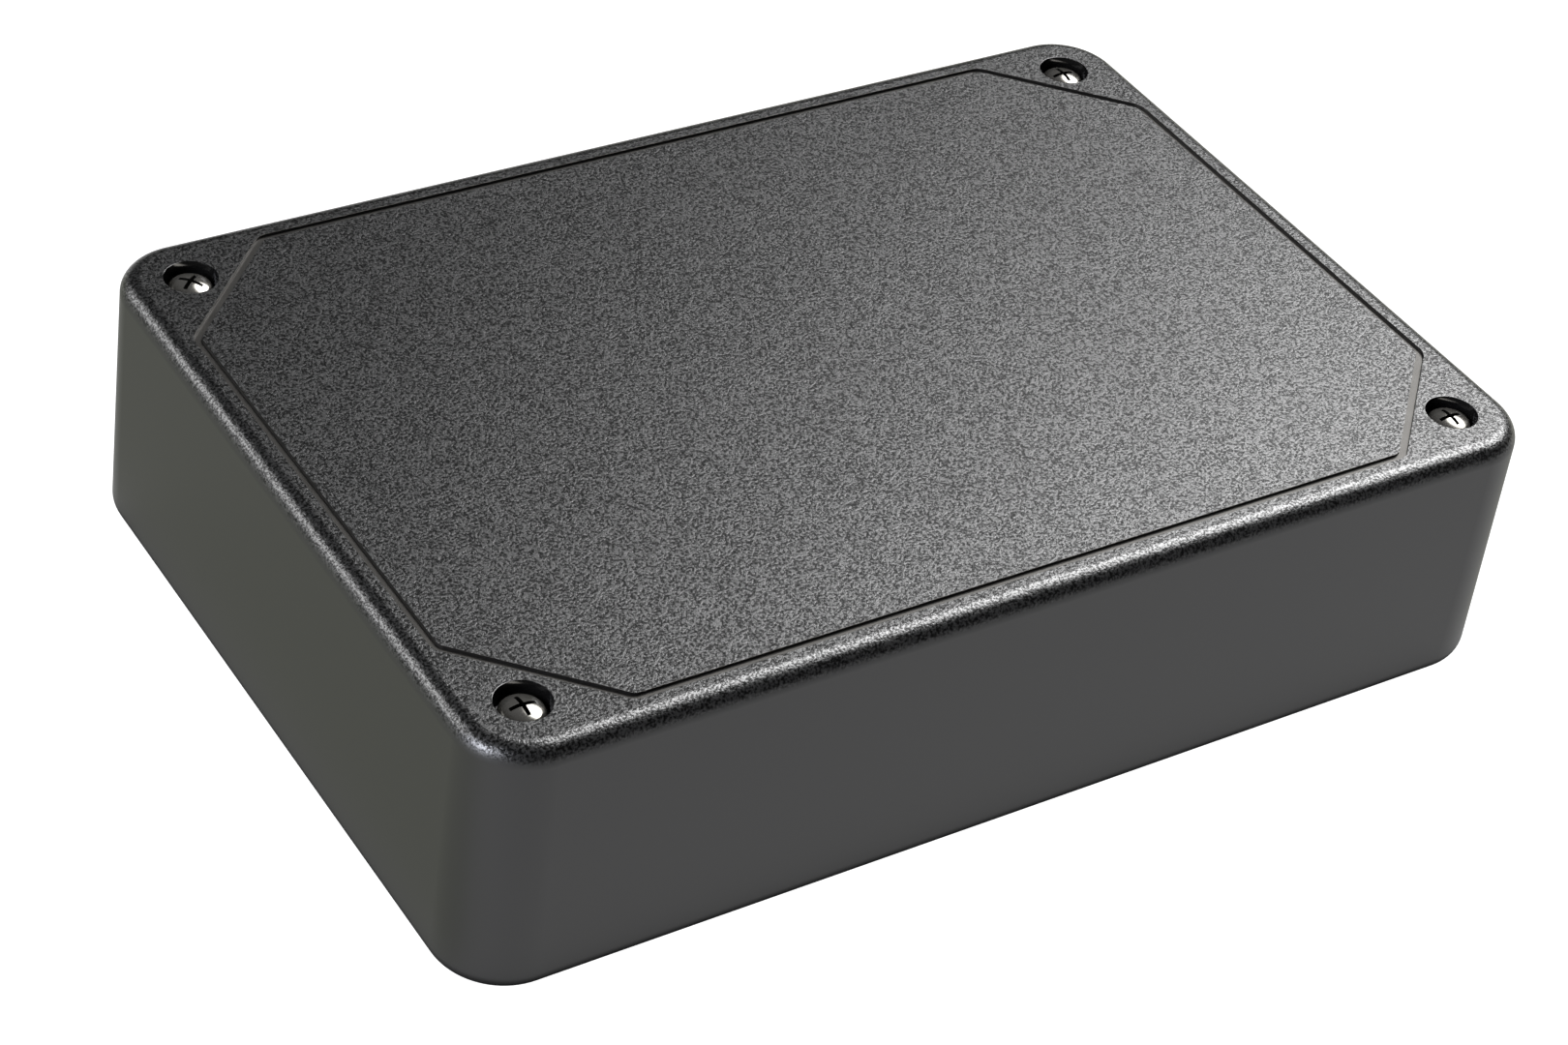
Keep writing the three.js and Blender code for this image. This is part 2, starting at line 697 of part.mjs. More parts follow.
/** Screw with a domed head and a cross recess; its seat is at z = 0. */
function makeCrossScrew({ radius, length, headRadius, rimHeight, headHeight, span, slot, depth }) {
  const edge = headRadius * SCREW_HEAD_EDGE_SHARE;
  const rise = headHeight - rimHeight;
  const domeRadius = (headRadius * headRadius + rise * rise) / (2 * rise);
  const profile = [
    [0, -length],
    [radius * SCREW_POINT_SHARE, -length],
    [radius, -length + radius * SCREW_POINT_LENGTH_SHARE],
    [radius, 0],
    [headRadius - edge, 0],
    [headRadius, edge],
    [headRadius, rimHeight],
  ];
  for (const share of SCREW_DOME_SHARES) {
    const across = headRadius * share;
    const drop = domeRadius - Math.sqrt(domeRadius * domeRadius - across * across);
    profile.push([across, headHeight - drop]);
  }
  profile.push([0, headHeight]);
  const recess = [
    block(span, slot, headHeight - depth, headHeight + 1),
    block(slot, span, headHeight - depth, headHeight + 1),
  ];
  return combine(turnedUp(profile, ROUND_STEPS), [], recess);
}

/** Brass insert with a groove round its middle, which keeps it in the post. */
function makeInsert() {
  const foot = POST_TOP_Z - INSERT_SINK - INSERT_LENGTH;
  const bore = SCREW_RADIUS + THREAD_CLEARANCE;
  const [lower, deepFrom, deepTo, upper] = INSERT_GROOVE_SHARES.map((share) => (
    foot + INSERT_LENGTH * share
  ));
  const profile = [
    [bore, foot],
    [INSERT_RADIUS, foot],
    [INSERT_RADIUS, lower],
    [INSERT_RADIUS - INSERT_GROOVE, deepFrom],
    [INSERT_RADIUS - INSERT_GROOVE, deepTo],
    [INSERT_RADIUS, upper],
    [INSERT_RADIUS, foot + INSERT_LENGTH],
    [bore, foot + INSERT_LENGTH],
    [bore, foot],
  ];
  return turnedUp(profile, SMALL_STEPS);
}

// ---------------------------------------------------------------- board

/** Glass-epoxy board with its four screw holes. */
function makeBoard() {
  const outline = roundedRectangle(
    BOARD_LENGTH / 2,
    BOARD_WIDTH / 2,
    BOARD_CORNER_RADIUS,
    BEND_STEPS,
  );
  const holes = CORNERS.map(([sideX, sideY]) => turnedUp(
    bar(BOARD_SCREW_RADIUS + SCREW_HOLE_CLEARANCE, STANDOFF_TOP_Z - 1, BOARD_TOP_Z + 1),
    SMALL_STEPS,
    sideX * BOARD_SCREW_X,
    sideY * BOARD_SCREW_Y,
  ));
  return combine(prism(outline, STANDOFF_TOP_Z, BOARD_TOP_Z), [], holes);
}

/** Sheet-metal fence soldered round an amplifier. */
function makeShieldFence(x) {
  const outer = block(SHIELD_LENGTH, SHIELD_WIDTH, BOARD_TOP_Z, BOARD_TOP_Z + SHIELD_HEIGHT, x, SHIELD_Y);
  const inner = block(
    SHIELD_LENGTH - 2 * SHIELD_SHEET,
    SHIELD_WIDTH - 2 * SHIELD_SHEET,
    BOARD_TOP_Z - 1,
    BOARD_TOP_Z + SHIELD_HEIGHT + 1,
    x,
    SHIELD_Y,
  );
  return combine(outer, [], [inner]);
}

/** Sheet-metal lid that snaps over the fence. */
function makeShieldLid(x) {
  const grow = 2 * (SHIELD_LID_GAP + SHIELD_SHEET);
  const fenceTop = BOARD_TOP_Z + SHIELD_HEIGHT;
  const outer = block(
    SHIELD_LENGTH + grow,
    SHIELD_WIDTH + grow,
    fenceTop - SHIELD_LID_SKIRT,
    fenceTop + SHIELD_SHEET,
    x,
    SHIELD_Y,
  );
  const inner = block(
    SHIELD_LENGTH + 2 * SHIELD_LID_GAP,
    SHIELD_WIDTH + 2 * SHIELD_LID_GAP,
    fenceTop - SHIELD_LID_SKIRT - 1,
    fenceTop,
    x,
    SHIELD_Y,
  );
  return combine(outer, [], [inner]);
}

/** Ceramic filter block with a row of resonator bores. */
function makeDuplexer(x) {
  const body = block(
    DUPLEXER_LENGTH,
    DUPLEXER_WIDTH,
    BOARD_TOP_Z,
    BOARD_TOP_Z + DUPLEXER_HEIGHT,
    x,
    DUPLEXER_Y,
  );
  const pitch = DUPLEXER_LENGTH / DUPLEXER_BORES;
  const bores = [];
  for (let i = 0; i < DUPLEXER_BORES; i += 1) {
    bores.push(turnedBack(
      bar(DUPLEXER_BORE, DUPLEXER_Y - DUPLEXER_WIDTH, DUPLEXER_Y + DUPLEXER_WIDTH),
      CORD_SIDES,
      x + (i - (DUPLEXER_BORES - 1) / 2) * pitch,
      BOARD_TOP_Z + DUPLEXER_HEIGHT / 2,
    ));
  }
  return combine(body, [], bores);
}

/** Electrolytic capacitor can with its rolled groove. */
function makeCapacitor(x) {
  const profile = [
    [0, 0],
    [CAPACITOR_RADIUS, 0],
    [CAPACITOR_RADIUS, CAPACITOR_BEAD.height - CAPACITOR_BEAD.half],
    [CAPACITOR_RADIUS - CAPACITOR_BEAD.depth, CAPACITOR_BEAD.height],
    [CAPACITOR_RADIUS, CAPACITOR_BEAD.height + CAPACITOR_BEAD.half],
    [CAPACITOR_RADIUS, CAPACITOR_HEIGHT - CAPACITOR_TOP_EDGE],
    [CAPACITOR_RADIUS - CAPACITOR_TOP_EDGE, CAPACITOR_HEIGHT],
    [0, CAPACITOR_HEIGHT],
  ];
  const can = turnedUp(profile, SMALL_STEPS, x, POWER_PLUG_Y);
  can.translate(0, 0, BOARD_TOP_Z);
  return can;
}

/** Moulded power inductor with rounded upright edges. */
function makeInductor() {
  const half = INDUCTOR_SIZE / 2;
  const outline = roundedRectangle(
    half,
    half,
    INDUCTOR_CORNER_RADIUS,
    BEND_STEPS,
    INDUCTOR_X,
    POWER_PLUG_Y,
  );
  return prism(outline, BOARD_TOP_Z, BOARD_TOP_Z + INDUCTOR_HEIGHT);
}

// ---------------------------------------------------------------- antenna jacks and leads

/** Threaded jack body with its hexagon inside the wall and its crimp ferrule. */
function makeJackBody(x) {
  const hexBackY = PAD_Y - JACK_HEX_THICKNESS;
  const mouthY = PAD_Y + JACK_THREAD_REACH;
  const tube = turnedBack([
    [JACK_BORE_RADIUS, LEAD_START_Y],
    [JACK_FERRULE_RADIUS, LEAD_START_Y],
    [JACK_FERRULE_RADIUS, hexBackY + JACK_JOIN],
    [JACK_THREAD_RADIUS, hexBackY + JACK_JOIN],
    [JACK_THREAD_RADIUS, mouthY - JACK_THREAD_CHAMFER],
    [JACK_THREAD_RADIUS - JACK_THREAD_CHAMFER, mouthY],
    [JACK_MOUTH_RADIUS, mouthY],
    [JACK_MOUTH_RADIUS, mouthY - JACK_MOUTH_DEPTH],
    [JACK_BORE_RADIUS, mouthY - JACK_MOUTH_DEPTH],
    [JACK_BORE_RADIUS, LEAD_START_Y],
  ], ROUND_STEPS, x, PORT_HEIGHT);
  const bore = bar(JACK_BORE_RADIUS + JACK_JOIN_WALL, hexBackY - 1, PAD_Y + 1);
  const hexagon = combine(
    hexBack(JACK_HEX_FLATS, hexBackY, PAD_Y, x, PORT_HEIGHT),
    [],
    [turnedBack(bore, ROUND_STEPS, x, PORT_HEIGHT)],
  );
  return combine(tube, [hexagon], []);
}

/** Plastic sleeve between the jack body and its contact. */
function makeJackInsulator(x) {
  const from = LEAD_START_Y + LEAD_ENTRY + 2 * LEAD_GAP;
  const to = PAD_Y + JACK_THREAD_REACH - JACK_MOUTH_DEPTH;
  const profile = ring(
    JACK_CONTACT_RADIUS + JACK_FIT_GAP,
    JACK_BORE_RADIUS - JACK_FIT_GAP,
    from,
    to,
  );
  return turnedBack(profile, ROUND_STEPS, x, PORT_HEIGHT);
}

/** Centre contact, a pin with a socket in its front end. */
function makeJackContact(x) {
  const from = LEAD_START_Y + LEAD_ENTRY + 2 * LEAD_GAP;
  const to = PAD_Y + JACK_THREAD_REACH - JACK_MOUTH_DEPTH + JACK_CONTACT_PROUD;
  const profile = [
    [0, from],
    [JACK_CONTACT_RADIUS, from],
    [JACK_CONTACT_RADIUS, to],
    [JACK_CONTACT_SOCKET, to],
    [JACK_CONTACT_SOCKET, to - JACK_CONTACT_SOCKET_DEPTH],
    [0, to - JACK_CONTACT_SOCKET_DEPTH],
  ];
  return turnedBack(profile, PIN_STEPS, x, PORT_HEIGHT);
}

/** Lock washer under the nut. */
function makeJackWasher(x) {
  const inner = JACK_THREAD_RADIUS + JACK_FIT_GAP;
  const profile = ring(inner, inner + WASHER_RIM, LAND_Y, LAND_Y + WASHER_THICKNESS);
  return turnedBack(profile, ROUND_STEPS, x, PORT_HEIGHT);
}

/** Hexagon nut that clamps the jack to the wall. */
function makeJackNut(x) {
  const from = LAND_Y + WASHER_THICKNESS;
  return combine(
    hexBack(JACK_HEX_FLATS, from, from + NUT_THICKNESS, x, PORT_HEIGHT),
    [],
    [turnedBack(
      bar(JACK_THREAD_RADIUS + JACK_FIT_GAP, from - 1, from + NUT_THICKNESS + 1),
      ROUND_STEPS,
      x,
      PORT_HEIGHT,
    )],
  );
}

/** Gentle S from a port down to a plug, level at both ends. */
function dropCurve(x, fromY, toY, fromZ, toZ) {
  const middleY = (fromY + toY) / 2;
  return new THREE.CubicBezierCurve3(
    new THREE.Vector3(x, fromY, fromZ),
    new THREE.Vector3(x, middleY, fromZ),
    new THREE.Vector3(x, middleY, toZ),
    new THREE.Vector3(x, toY, toZ),
  );
}

/** Height of the line on which a lead enters its board plug. */
const PLUG_AXIS_Z = PLUG_Z + PLUG_HEIGHT / 2;

/** Coaxial lead from inside the jack's ferrule to the board plug. */
function makeLead(x) {
  const curve = dropCurve(
    x,
    LEAD_START_Y + LEAD_ENTRY,
    LEAD_START_Y - LEAD_RUN + LEAD_GAP,
    PORT_HEIGHT,
    PLUG_AXIS_Z,
  );
  return cord(curve, LEAD_RADIUS, CORD_SIDES, LEAD_STEPS);
}

/** Right-angle plug that snaps onto the board socket. */
function makeLeadPlug(x) {
  const head = turnedUp([
    [SOCKET_RADIUS + JACK_FIT_GAP, PLUG_Z],
    [PLUG_RADIUS, PLUG_Z],
    [PLUG_RADIUS, PLUG_Z + PLUG_HEIGHT - PLUG_TOP_EDGE],
    [PLUG_RADIUS - PLUG_TOP_EDGE, PLUG_Z + PLUG_HEIGHT],
    [0, PLUG_Z + PLUG_HEIGHT],
    [0, PLUG_Z + SOCKET_HEIGHT],
    [SOCKET_RADIUS + JACK_FIT_GAP, PLUG_Z + SOCKET_HEIGHT],
    [SOCKET_RADIUS + JACK_FIT_GAP, PLUG_Z],
  ], SMALL_STEPS, x, SOCKET_Y);
  const neckFrom = SOCKET_Y + PLUG_RADIUS * PLUG_NECK_START_SHARE;
  const neckTo = SOCKET_Y + PLUG_RADIUS + PLUG_NECK_LENGTH;
  const neck = turnedBack(bar(PLUG_NECK_RADIUS, neckFrom, neckTo), SMALL_STEPS, x, PLUG_AXIS_Z);
  return combine(head, [neck], []);
}

/** Board socket with a square foot and a round post. */
function makeBoardSocket(x) {
  const foot = block(SOCKET_FOOT, SOCKET_FOOT, BOARD_TOP_Z, PLUG_Z, x, SOCKET_Y);
  const postTopZ = PLUG_Z + SOCKET_HEIGHT - SOCKET_TOP_GAP;
  const post = turnedUp(bar(SOCKET_RADIUS, BOARD_TOP_Z, postTopZ), SMALL_STEPS, x, SOCKET_Y);
  return combine(foot, [post], []);
}

// ---------------------------------------------------------------- power

/** Threaded barrel jack with its flange outside the wall. */
function makePowerJackBody() {
  const faceY = LAND_Y + POWER_FLANGE_THICKNESS;
  return turnedBack([
    [0, LAND_Y - POWER_BODY_LENGTH],
    [POWER_THREAD_RADIUS - POWER_THREAD_CHAMFER, LAND_Y - POWER_BODY_LENGTH],
    [POWER_THREAD_RADIUS, LAND_Y - POWER_BODY_LENGTH + POWER_THREAD_CHAMFER],
    [POWER_THREAD_RADIUS, LAND_Y],
    [POWER_FLANGE_RADIUS, LAND_Y],
    [POWER_FLANGE_RADIUS, faceY - POWER_FLANGE_CHAMFER],
    [POWER_FLANGE_RADIUS - POWER_FLANGE_CHAMFER, faceY],
    [POWER_BORE_RADIUS, faceY],
    [POWER_BORE_RADIUS, faceY - POWER_BORE_DEPTH],
    [0, faceY - POWER_BORE_DEPTH],
  ], ROUND_STEPS, POWER_X, PORT_HEIGHT);
}

/** Centre pin of the power jack. */
function makePowerPin() {
  const faceY = LAND_Y + POWER_FLANGE_THICKNESS;
  const tip = faceY - POWER_PIN_SINK;
  return turnedBack([
    [0, faceY - POWER_BORE_DEPTH],
    [POWER_PIN_RADIUS, faceY - POWER_BORE_DEPTH],
    [POWER_PIN_RADIUS, tip - POWER_PIN_TIP],
    [POWER_PIN_RADIUS - POWER_PIN_TIP, tip],
    [0, tip],
  ], PIN_STEPS, POWER_X, PORT_HEIGHT);
}

/** Nut that clamps the power jack from inside. */
function makePowerNut() {
  const from = PAD_Y - POWER_NUT_THICKNESS;
  return combine(
    hexBack(POWER_NUT_FLATS, from, PAD_Y, POWER_X, PORT_HEIGHT),
    [],
    [turnedBack(
      bar(POWER_THREAD_RADIUS + JACK_FIT_GAP, from - 1, PAD_Y + 1),
      ROUND_STEPS,
      POWER_X,
      PORT_HEIGHT,
    )],
  );
}

/** Solder lug at the back of the power jack. */
function makePowerLug(side) {
  const lug = new THREE.BoxGeometry(POWER_LUG.thickness, POWER_LUG.length, POWER_LUG.width);
  lug.translate(
    POWER_X + (side * WIRE_PITCH) / 2,
    LAND_Y - POWER_BODY_LENGTH - POWER_LUG.length / 2,
    PORT_HEIGHT,
  );
  return lug;
}

/** Insulated wire from a lug to the power plug. */
function makePowerWire(side) {
  const x = POWER_X + (side * WIRE_PITCH) / 2;
  const curve = dropCurve(
    x,
    WIRE_START_Y - LEAD_GAP,
    POWER_PLUG_Y + POWER_PLUG.width / 2 + LEAD_GAP,
    PORT_HEIGHT,
    WIRE_END_Z,
  );
  return cord(curve, WIRE_RADIUS, CORD_SIDES, WIRE_STEPS);
}

/** Open-topped header soldered to the board. */
function makePowerHeader() {
  const top = BOARD_TOP_Z + POWER_HEADER.height;
  const outer = block(POWER_HEADER.length, POWER_HEADER.width, BOARD_TOP_Z, top, POWER_X, POWER_PLUG_Y);
  const inner = block(
    POWER_HEADER.length - 2 * POWER_HEADER.sheet,
    POWER_HEADER.width - 2 * POWER_HEADER.sheet,
    BOARD_TOP_Z + POWER_HEADER.sheet,
    top + 1,
    POWER_X,
    POWER_PLUG_Y,
  );
  return combine(outer, [], [inner]);
}

/** Plug housing on the wires, standing in the header. */
function makePowerPlug() {
  return block(
    POWER_PLUG.length,
    POWER_PLUG.width,
    POWER_PLUG_Z,
    POWER_PLUG_Z + POWER_PLUG.height,
    POWER_X,
    POWER_PLUG_Y,
  );
}

// ---------------------------------------------------------------- status lamps

/** Front face of the lamp holders, level with the back edge of the board. */
const HOLDER_FRONT_Y = BOARD_WIDTH / 2;

/** Right-angle holder that keeps a lamp level with its light pipe. */
function makeLampHolder(x) {
  const body = block(
    LAMP_HOLDER.width,
    LAMP_HOLDER.depth,
    BOARD_TOP_Z,
    BOARD_TOP_Z + LAMP_HOLDER.height,
    x,
    HOLDER_FRONT_Y - LAMP_HOLDER.depth / 2,
  );
  const bore = bar(LAMP_RADIUS + LAMP_FIT_GAP, HOLDER_FRONT_Y - LAMP_LENGTH, HOLDER_FRONT_Y + 1);
  return combine(body, [], [turnedBack(bore, SMALL_STEPS, x, LAMP_Z)]);
}

/** Lamp with a domed end. */
function makeLamp(x) {
  return turnedBack([
    [0, HOLDER_FRONT_Y - LAMP_LENGTH],
    [LAMP_RADIUS, HOLDER_FRONT_Y - LAMP_LENGTH],
    [LAMP_RADIUS, HOLDER_FRONT_Y - LAMP_RADIUS],
    [LAMP_RADIUS * LAMP_DOME_SHARES[0], HOLDER_FRONT_Y - LAMP_RADIUS * LAMP_DOME_SHARES[1]],
    [0, HOLDER_FRONT_Y],
  ], SMALL_STEPS, x, LAMP_Z);
}

/** Clear rod that carries the light through the wall. */
function makeLightPipe(x) {
  const face = LAND_Y + PIPE_HEAD_THICKNESS;
  return turnedBack([
    [0, HOLDER_FRONT_Y + LAMP_PIPE_GAP],
    [PIPE_RADIUS, HOLDER_FRONT_Y + LAMP_PIPE_GAP],
    [PIPE_RADIUS, LAND_Y],
    [PIPE_HEAD_RADIUS, LAND_Y],
    [PIPE_HEAD_RADIUS, face - PIPE_DOME],
    [PIPE_HEAD_RADIUS * PIPE_DOME_SHARES[0], face - PIPE_DOME * PIPE_DOME_SHARES[1]],
    [0, face],
  ], SMALL_STEPS, x, LAMP_Z);
}

// ---------------------------------------------------------------- assembly

const booster = new THREE.Group();

/** Adds one named piece to the booster. */
function addPart(name, geometry, material, x = 0, y = 0, z = 0, turn = 0) {
  const mesh = new THREE.Mesh(geometry, material);
  mesh.name = name;
  mesh.position.set(x, y, z);
  mesh.rotation.z = THREE.MathUtils.degToRad(turn);
  booster.add(mesh);
}

addPart('top_cover', makeTopCover(), FINISH.cover);
addPart('base_plate', makeBasePlate(), FINISH.plate);
addPart('circuit_board', makeBoard(), FINISH.board);

const coverScrew = makeCrossScrew({
  radius: SCREW_RADIUS,
  length: SCREW_LENGTH,
  headRadius: HEAD_RADIUS,
  rimHeight: HEAD_RIM_HEIGHT,
  headHeight: HEAD_HEIGHT,
  span: CROSS_SPAN,
  slot: CROSS_WIDTH,
  depth: CROSS_DEPTH,
});
const boardScrew = makeCrossScrew({
  radius: BOARD_SCREW_RADIUS,
  length: BOARD_SCREW_LENGTH,
  headRadius: BOARD_SCREW_HEAD_RADIUS,
  rimHeight: BOARD_SCREW_RIM_HEIGHT,
  headHeight: BOARD_SCREW_HEAD_HEIGHT,
  span: BOARD_SCREW_HEAD_RADIUS,
  slot: BOARD_SCREW_CROSS_WIDTH,
  depth: BOARD_SCREW_CROSS_DEPTH,
});
const insert = makeInsert();
CORNERS.forEach(([sideX, sideY], i) => {
  const [x, y] = [sideX * SCREW_X, sideY * SCREW_Y];
  addPart(`cover_screw_${i + 1}`, coverScrew, FINISH.nickel, x, y, SEAT_Z, SCREW_TURNS[i]);
  addPart(`threaded_insert_${i + 1}`, insert, FINISH.brass, x, y);
  addPart(
    `board_screw_${i + 1}`,
    boardScrew,
    FINISH.steel,
    sideX * BOARD_SCREW_X,
    sideY * BOARD_SCREW_Y,
    BOARD_TOP_Z,
  );
});

const SIDES = [
  { side: -1, path: 'uplink', antenna: 'outside' },
  { side: 1, path: 'downlink', antenna: 'inside' },
];
for (const { side, path, antenna } of SIDES) {
  const shieldX = side * SHIELD_X;
  addPart(`${path}_shield_fence`, makeShieldFence(shieldX), FINISH.shield);
  addPart(`${path}_shield_lid`, makeShieldLid(shieldX), FINISH.shield);
  addPart(
    `${path}_amplifier`,
    block(AMPLIFIER_SIZE, AMPLIFIER_SIZE, BOARD_TOP_Z, BOARD_TOP_Z + AMPLIFIER_HEIGHT, shieldX, SHIELD_Y),
    FINISH.chip,
  );
  addPart(`${antenna}_duplexer`, makeDuplexer(side * DUPLEXER_X), FINISH.ceramic);
  const jackX = side * ANTENNA_X;
  addPart(`${antenna}_jack_body`, makeJackBody(jackX), FINISH.gold);
  addPart(`${antenna}_jack_insulator`, makeJackInsulator(jackX), FINISH.insulator);
  addPart(`${antenna}_jack_contact`, makeJackContact(jackX), FINISH.gold);
  addPart(`${antenna}_jack_washer`, makeJackWasher(jackX), FINISH.gold);
  addPart(`${antenna}_jack_nut`, makeJackNut(jackX), FINISH.gold);
  addPart(`${antenna}_lead`, makeLead(jackX), FINISH.lead);
  addPart(`${antenna}_lead_plug`, makeLeadPlug(jackX), FINISH.gold);
  addPart(`${antenna}_board_socket`, makeBoardSocket(jackX), FINISH.gold);
}

addPart(
  'controller_chip',
  block(CONTROLLER_SIZE, CONTROLLER_SIZE, BOARD_TOP_Z, BOARD_TOP_Z + CONTROLLER_HEIGHT, 0, DUPLEXER_Y),
  FINISH.chip,
);
addPart('power_inductor', makeInductor(), FINISH.ferrite);
addPart('capacitor_1', makeCapacitor(CAPACITOR_X), FINISH.aluminium);
addPart('capacitor_2', makeCapacitor(CAPACITOR_X - CAPACITOR_STEP), FINISH.aluminium);

addPart('power_jack_body', makePowerJackBody(), FINISH.blackPlastic);
addPart('power_jack_pin', makePowerPin(), FINISH.nickel);
addPart('power_jack_nut', makePowerNut(), FINISH.nickel);
addPart('power_jack_lug_1', makePowerLug(-1), FINISH.nickel);
addPart('power_jack_lug_2', makePowerLug(1), FINISH.nickel);
addPart('power_wire_positive', makePowerWire(-1), FINISH.redWire);
addPart('power_wire_negative', makePowerWire(1), FINISH.blackWire);
addPart('power_header', makePowerHeader(), FINISH.whitePlastic);
addPart('power_plug', makePowerPlug(), FINISH.whitePlastic);

LAMP_XS.forEach((x, i) => {
  addPart(`lamp_holder_${i + 1}`, makeLampHolder(x), FINISH.blackPlastic);
  addPart(`status_lamp_${i + 1}`, makeLamp(x), FINISH.greenLamp);
  addPart(`light_pipe_${i + 1}`, makeLightPipe(x), FINISH.clear);
});

export default booster;
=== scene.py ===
import math

import bpy
from mathutils import Matrix, Vector


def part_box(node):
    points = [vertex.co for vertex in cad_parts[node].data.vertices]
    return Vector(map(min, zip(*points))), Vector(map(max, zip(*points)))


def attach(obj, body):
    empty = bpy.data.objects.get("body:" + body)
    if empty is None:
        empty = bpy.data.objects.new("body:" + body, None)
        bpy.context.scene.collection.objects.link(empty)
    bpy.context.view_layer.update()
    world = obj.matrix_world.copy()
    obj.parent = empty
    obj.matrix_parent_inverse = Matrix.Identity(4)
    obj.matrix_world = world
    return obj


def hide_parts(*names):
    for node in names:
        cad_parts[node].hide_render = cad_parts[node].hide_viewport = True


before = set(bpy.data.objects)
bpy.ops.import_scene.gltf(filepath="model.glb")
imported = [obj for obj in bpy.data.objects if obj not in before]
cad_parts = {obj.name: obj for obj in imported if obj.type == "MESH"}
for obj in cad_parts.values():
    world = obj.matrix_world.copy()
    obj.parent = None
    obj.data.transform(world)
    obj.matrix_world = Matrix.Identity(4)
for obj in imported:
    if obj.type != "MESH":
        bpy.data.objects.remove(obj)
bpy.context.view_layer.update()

# ---------------------------------------------------------------- camera
# A long lens, high over the front left corner and leaning a little to its left.

MM = 0.001
LENS_MM = 84.88
SENSOR_MM = 36.0
CAMERA_DISTANCE = 501.0 * MM
CAMERA_TURN = math.radians(-37.17)
CAMERA_RISE = math.radians(38.33)
CAMERA_LEAN = math.radians(8.70)
AIM = Vector((-10.6, -10.3, 19.9)) * MM


def place_camera():
    """Puts the camera on its arm, looks at the aim point and leans it."""
    backward = Vector((
        math.sin(CAMERA_TURN) * math.cos(CAMERA_RISE),
        -math.cos(CAMERA_TURN) * math.cos(CAMERA_RISE),
        math.sin(CAMERA_RISE),
    ))
    level = Vector((0, 0, 1)).cross(backward).normalized()
    upright = backward.cross(level)
    right = level * math.cos(CAMERA_LEAN) + upright * math.sin(CAMERA_LEAN)
    up = backward.cross(right)
    lens = bpy.data.cameras.new("camera")
    lens.lens = LENS_MM
    lens.sensor_width = SENSOR_MM
    lens.clip_start = 1 * MM
    camera = bpy.data.objects.new("camera", lens)
    bpy.context.scene.collection.objects.link(camera)
    turn = Matrix((right, up, backward)).transposed().to_4x4()
    camera.matrix_world = Matrix.Translation(AIM + backward * CAMERA_DISTANCE) @ turn
    bpy.context.scene.camera = camera


place_camera()

# ---------------------------------------------------------------- top cover
# One deep injection moulding in black ABS: the top and four walls that lean in for draft.
# The top and its rounded edge are spark-eroded to a fine grain, the walls come from a smooth
# tool, the groove and the screw wells from polished inserts.

CASE_LENGTH = 165.0
CASE_WIDTH = 113.4
CASE_HEIGHT = 39.7
WALL_LEAN = 0.88
CORNER_RADIUS = 10.2
CORNER_STEPS = 20
TOP_EDGE_RADIUS = 2.75
TOP_EDGE_STEPS = 14
BOTTOM_EDGE_RADIUS = 3.2
BOTTOM_EDGE_STEPS = 12
WALL_THICKNESS = 3.0
TOP_THICKNESS = 2.8
CEILING_Z = CASE_HEIGHT - TOP_THICKNESS
CAVITY_EDGE_RADIUS = 1.0
CAVITY_EDGE_STEPS = 6
RIM_THICKNESS = 1.8
RIM_LAND = 0.4
PLATE_THICKNESS = 2.5
REBATE_CLEARANCE = 0.1

GROOVE_INSET_X = 5.2
GROOVE_INSET_Y = 5.3
GROOVE_CLIP = 17.7
GROOVE_WIDTH = 1.05
GROOVE_DEPTH = 0.45
GROOVE_BEND = 2.3
GROOVE_BEND_STEPS = 8
GROOVE_LIP = 0.03

SCREW_X = CASE_LENGTH / 2 - CORNER_RADIUS
SCREW_Y = CASE_WIDTH / 2 - CORNER_RADIUS
CORNERS = [(-1, -1), (1, -1), (-1, 1), (1, 1)]
AROUND = [(-1, -1), (1, -1), (1, 1), (-1, 1)]
WELL_RADIUS = 3.65
WELL_DEPTH = 2.95
WELL_FLOOR = 2.0
WELL_WALL = 1.8
WELL_LIP = 0.07
WELL_FOOT = 0.25
WELL_FOOT_MIDDLE = 0.07
SCREW_HOLE_RADIUS = 1.7
SEAT_Z = CASE_HEIGHT - WELL_DEPTH
POST_TOP_Z = SEAT_Z - WELL_FLOOR

PORT_Z = 17.0
LAND_INSET = 0.8
LAND_Y = CASE_WIDTH / 2 - LAND_INSET
LAND_FOOT = 0.15
LAND_CLEAR = 9.0
PORT_WALL = 3.301
PAD_Y = LAND_Y - PORT_WALL
# Each port: its piece, the radius of its hole, the radius of its flat land and whether a pad backs it.
PORTS = [
    ("outside_jack_body", 3.275, 6.5, True),
    ("inside_jack_body", 3.275, 6.5, True),
    ("power_jack_body", 4.1, 5.8, True),
    ("light_pipe_1", 1.6, 2.6, False),
    ("light_pipe_2", 1.6, 2.6, False),
]

LEAN = WALL_LEAN / CASE_HEIGHT
SLANT = math.hypot(1, LEAN)
WALL_ANGLE = math.atan(LEAN)

# How far a cutter runs past the face that it opens, and where the middle of a small rounded edge
# lies, as a share of its radius.
SPARE = 1.0
ARC_MIDDLE = 0.3
WELD_DISTANCE = 0.0005
ABS_IOR = 1.53


def build(name, points, faces):
    """A linked object from points in millimetres."""
    mesh = bpy.data.meshes.new(name)
    mesh.from_pydata([(x * MM, y * MM, z * MM) for x, y, z in points], [], faces)
    mesh.validate()
    made = bpy.data.objects.new(name, mesh)
    bpy.context.scene.collection.objects.link(made)
    return made


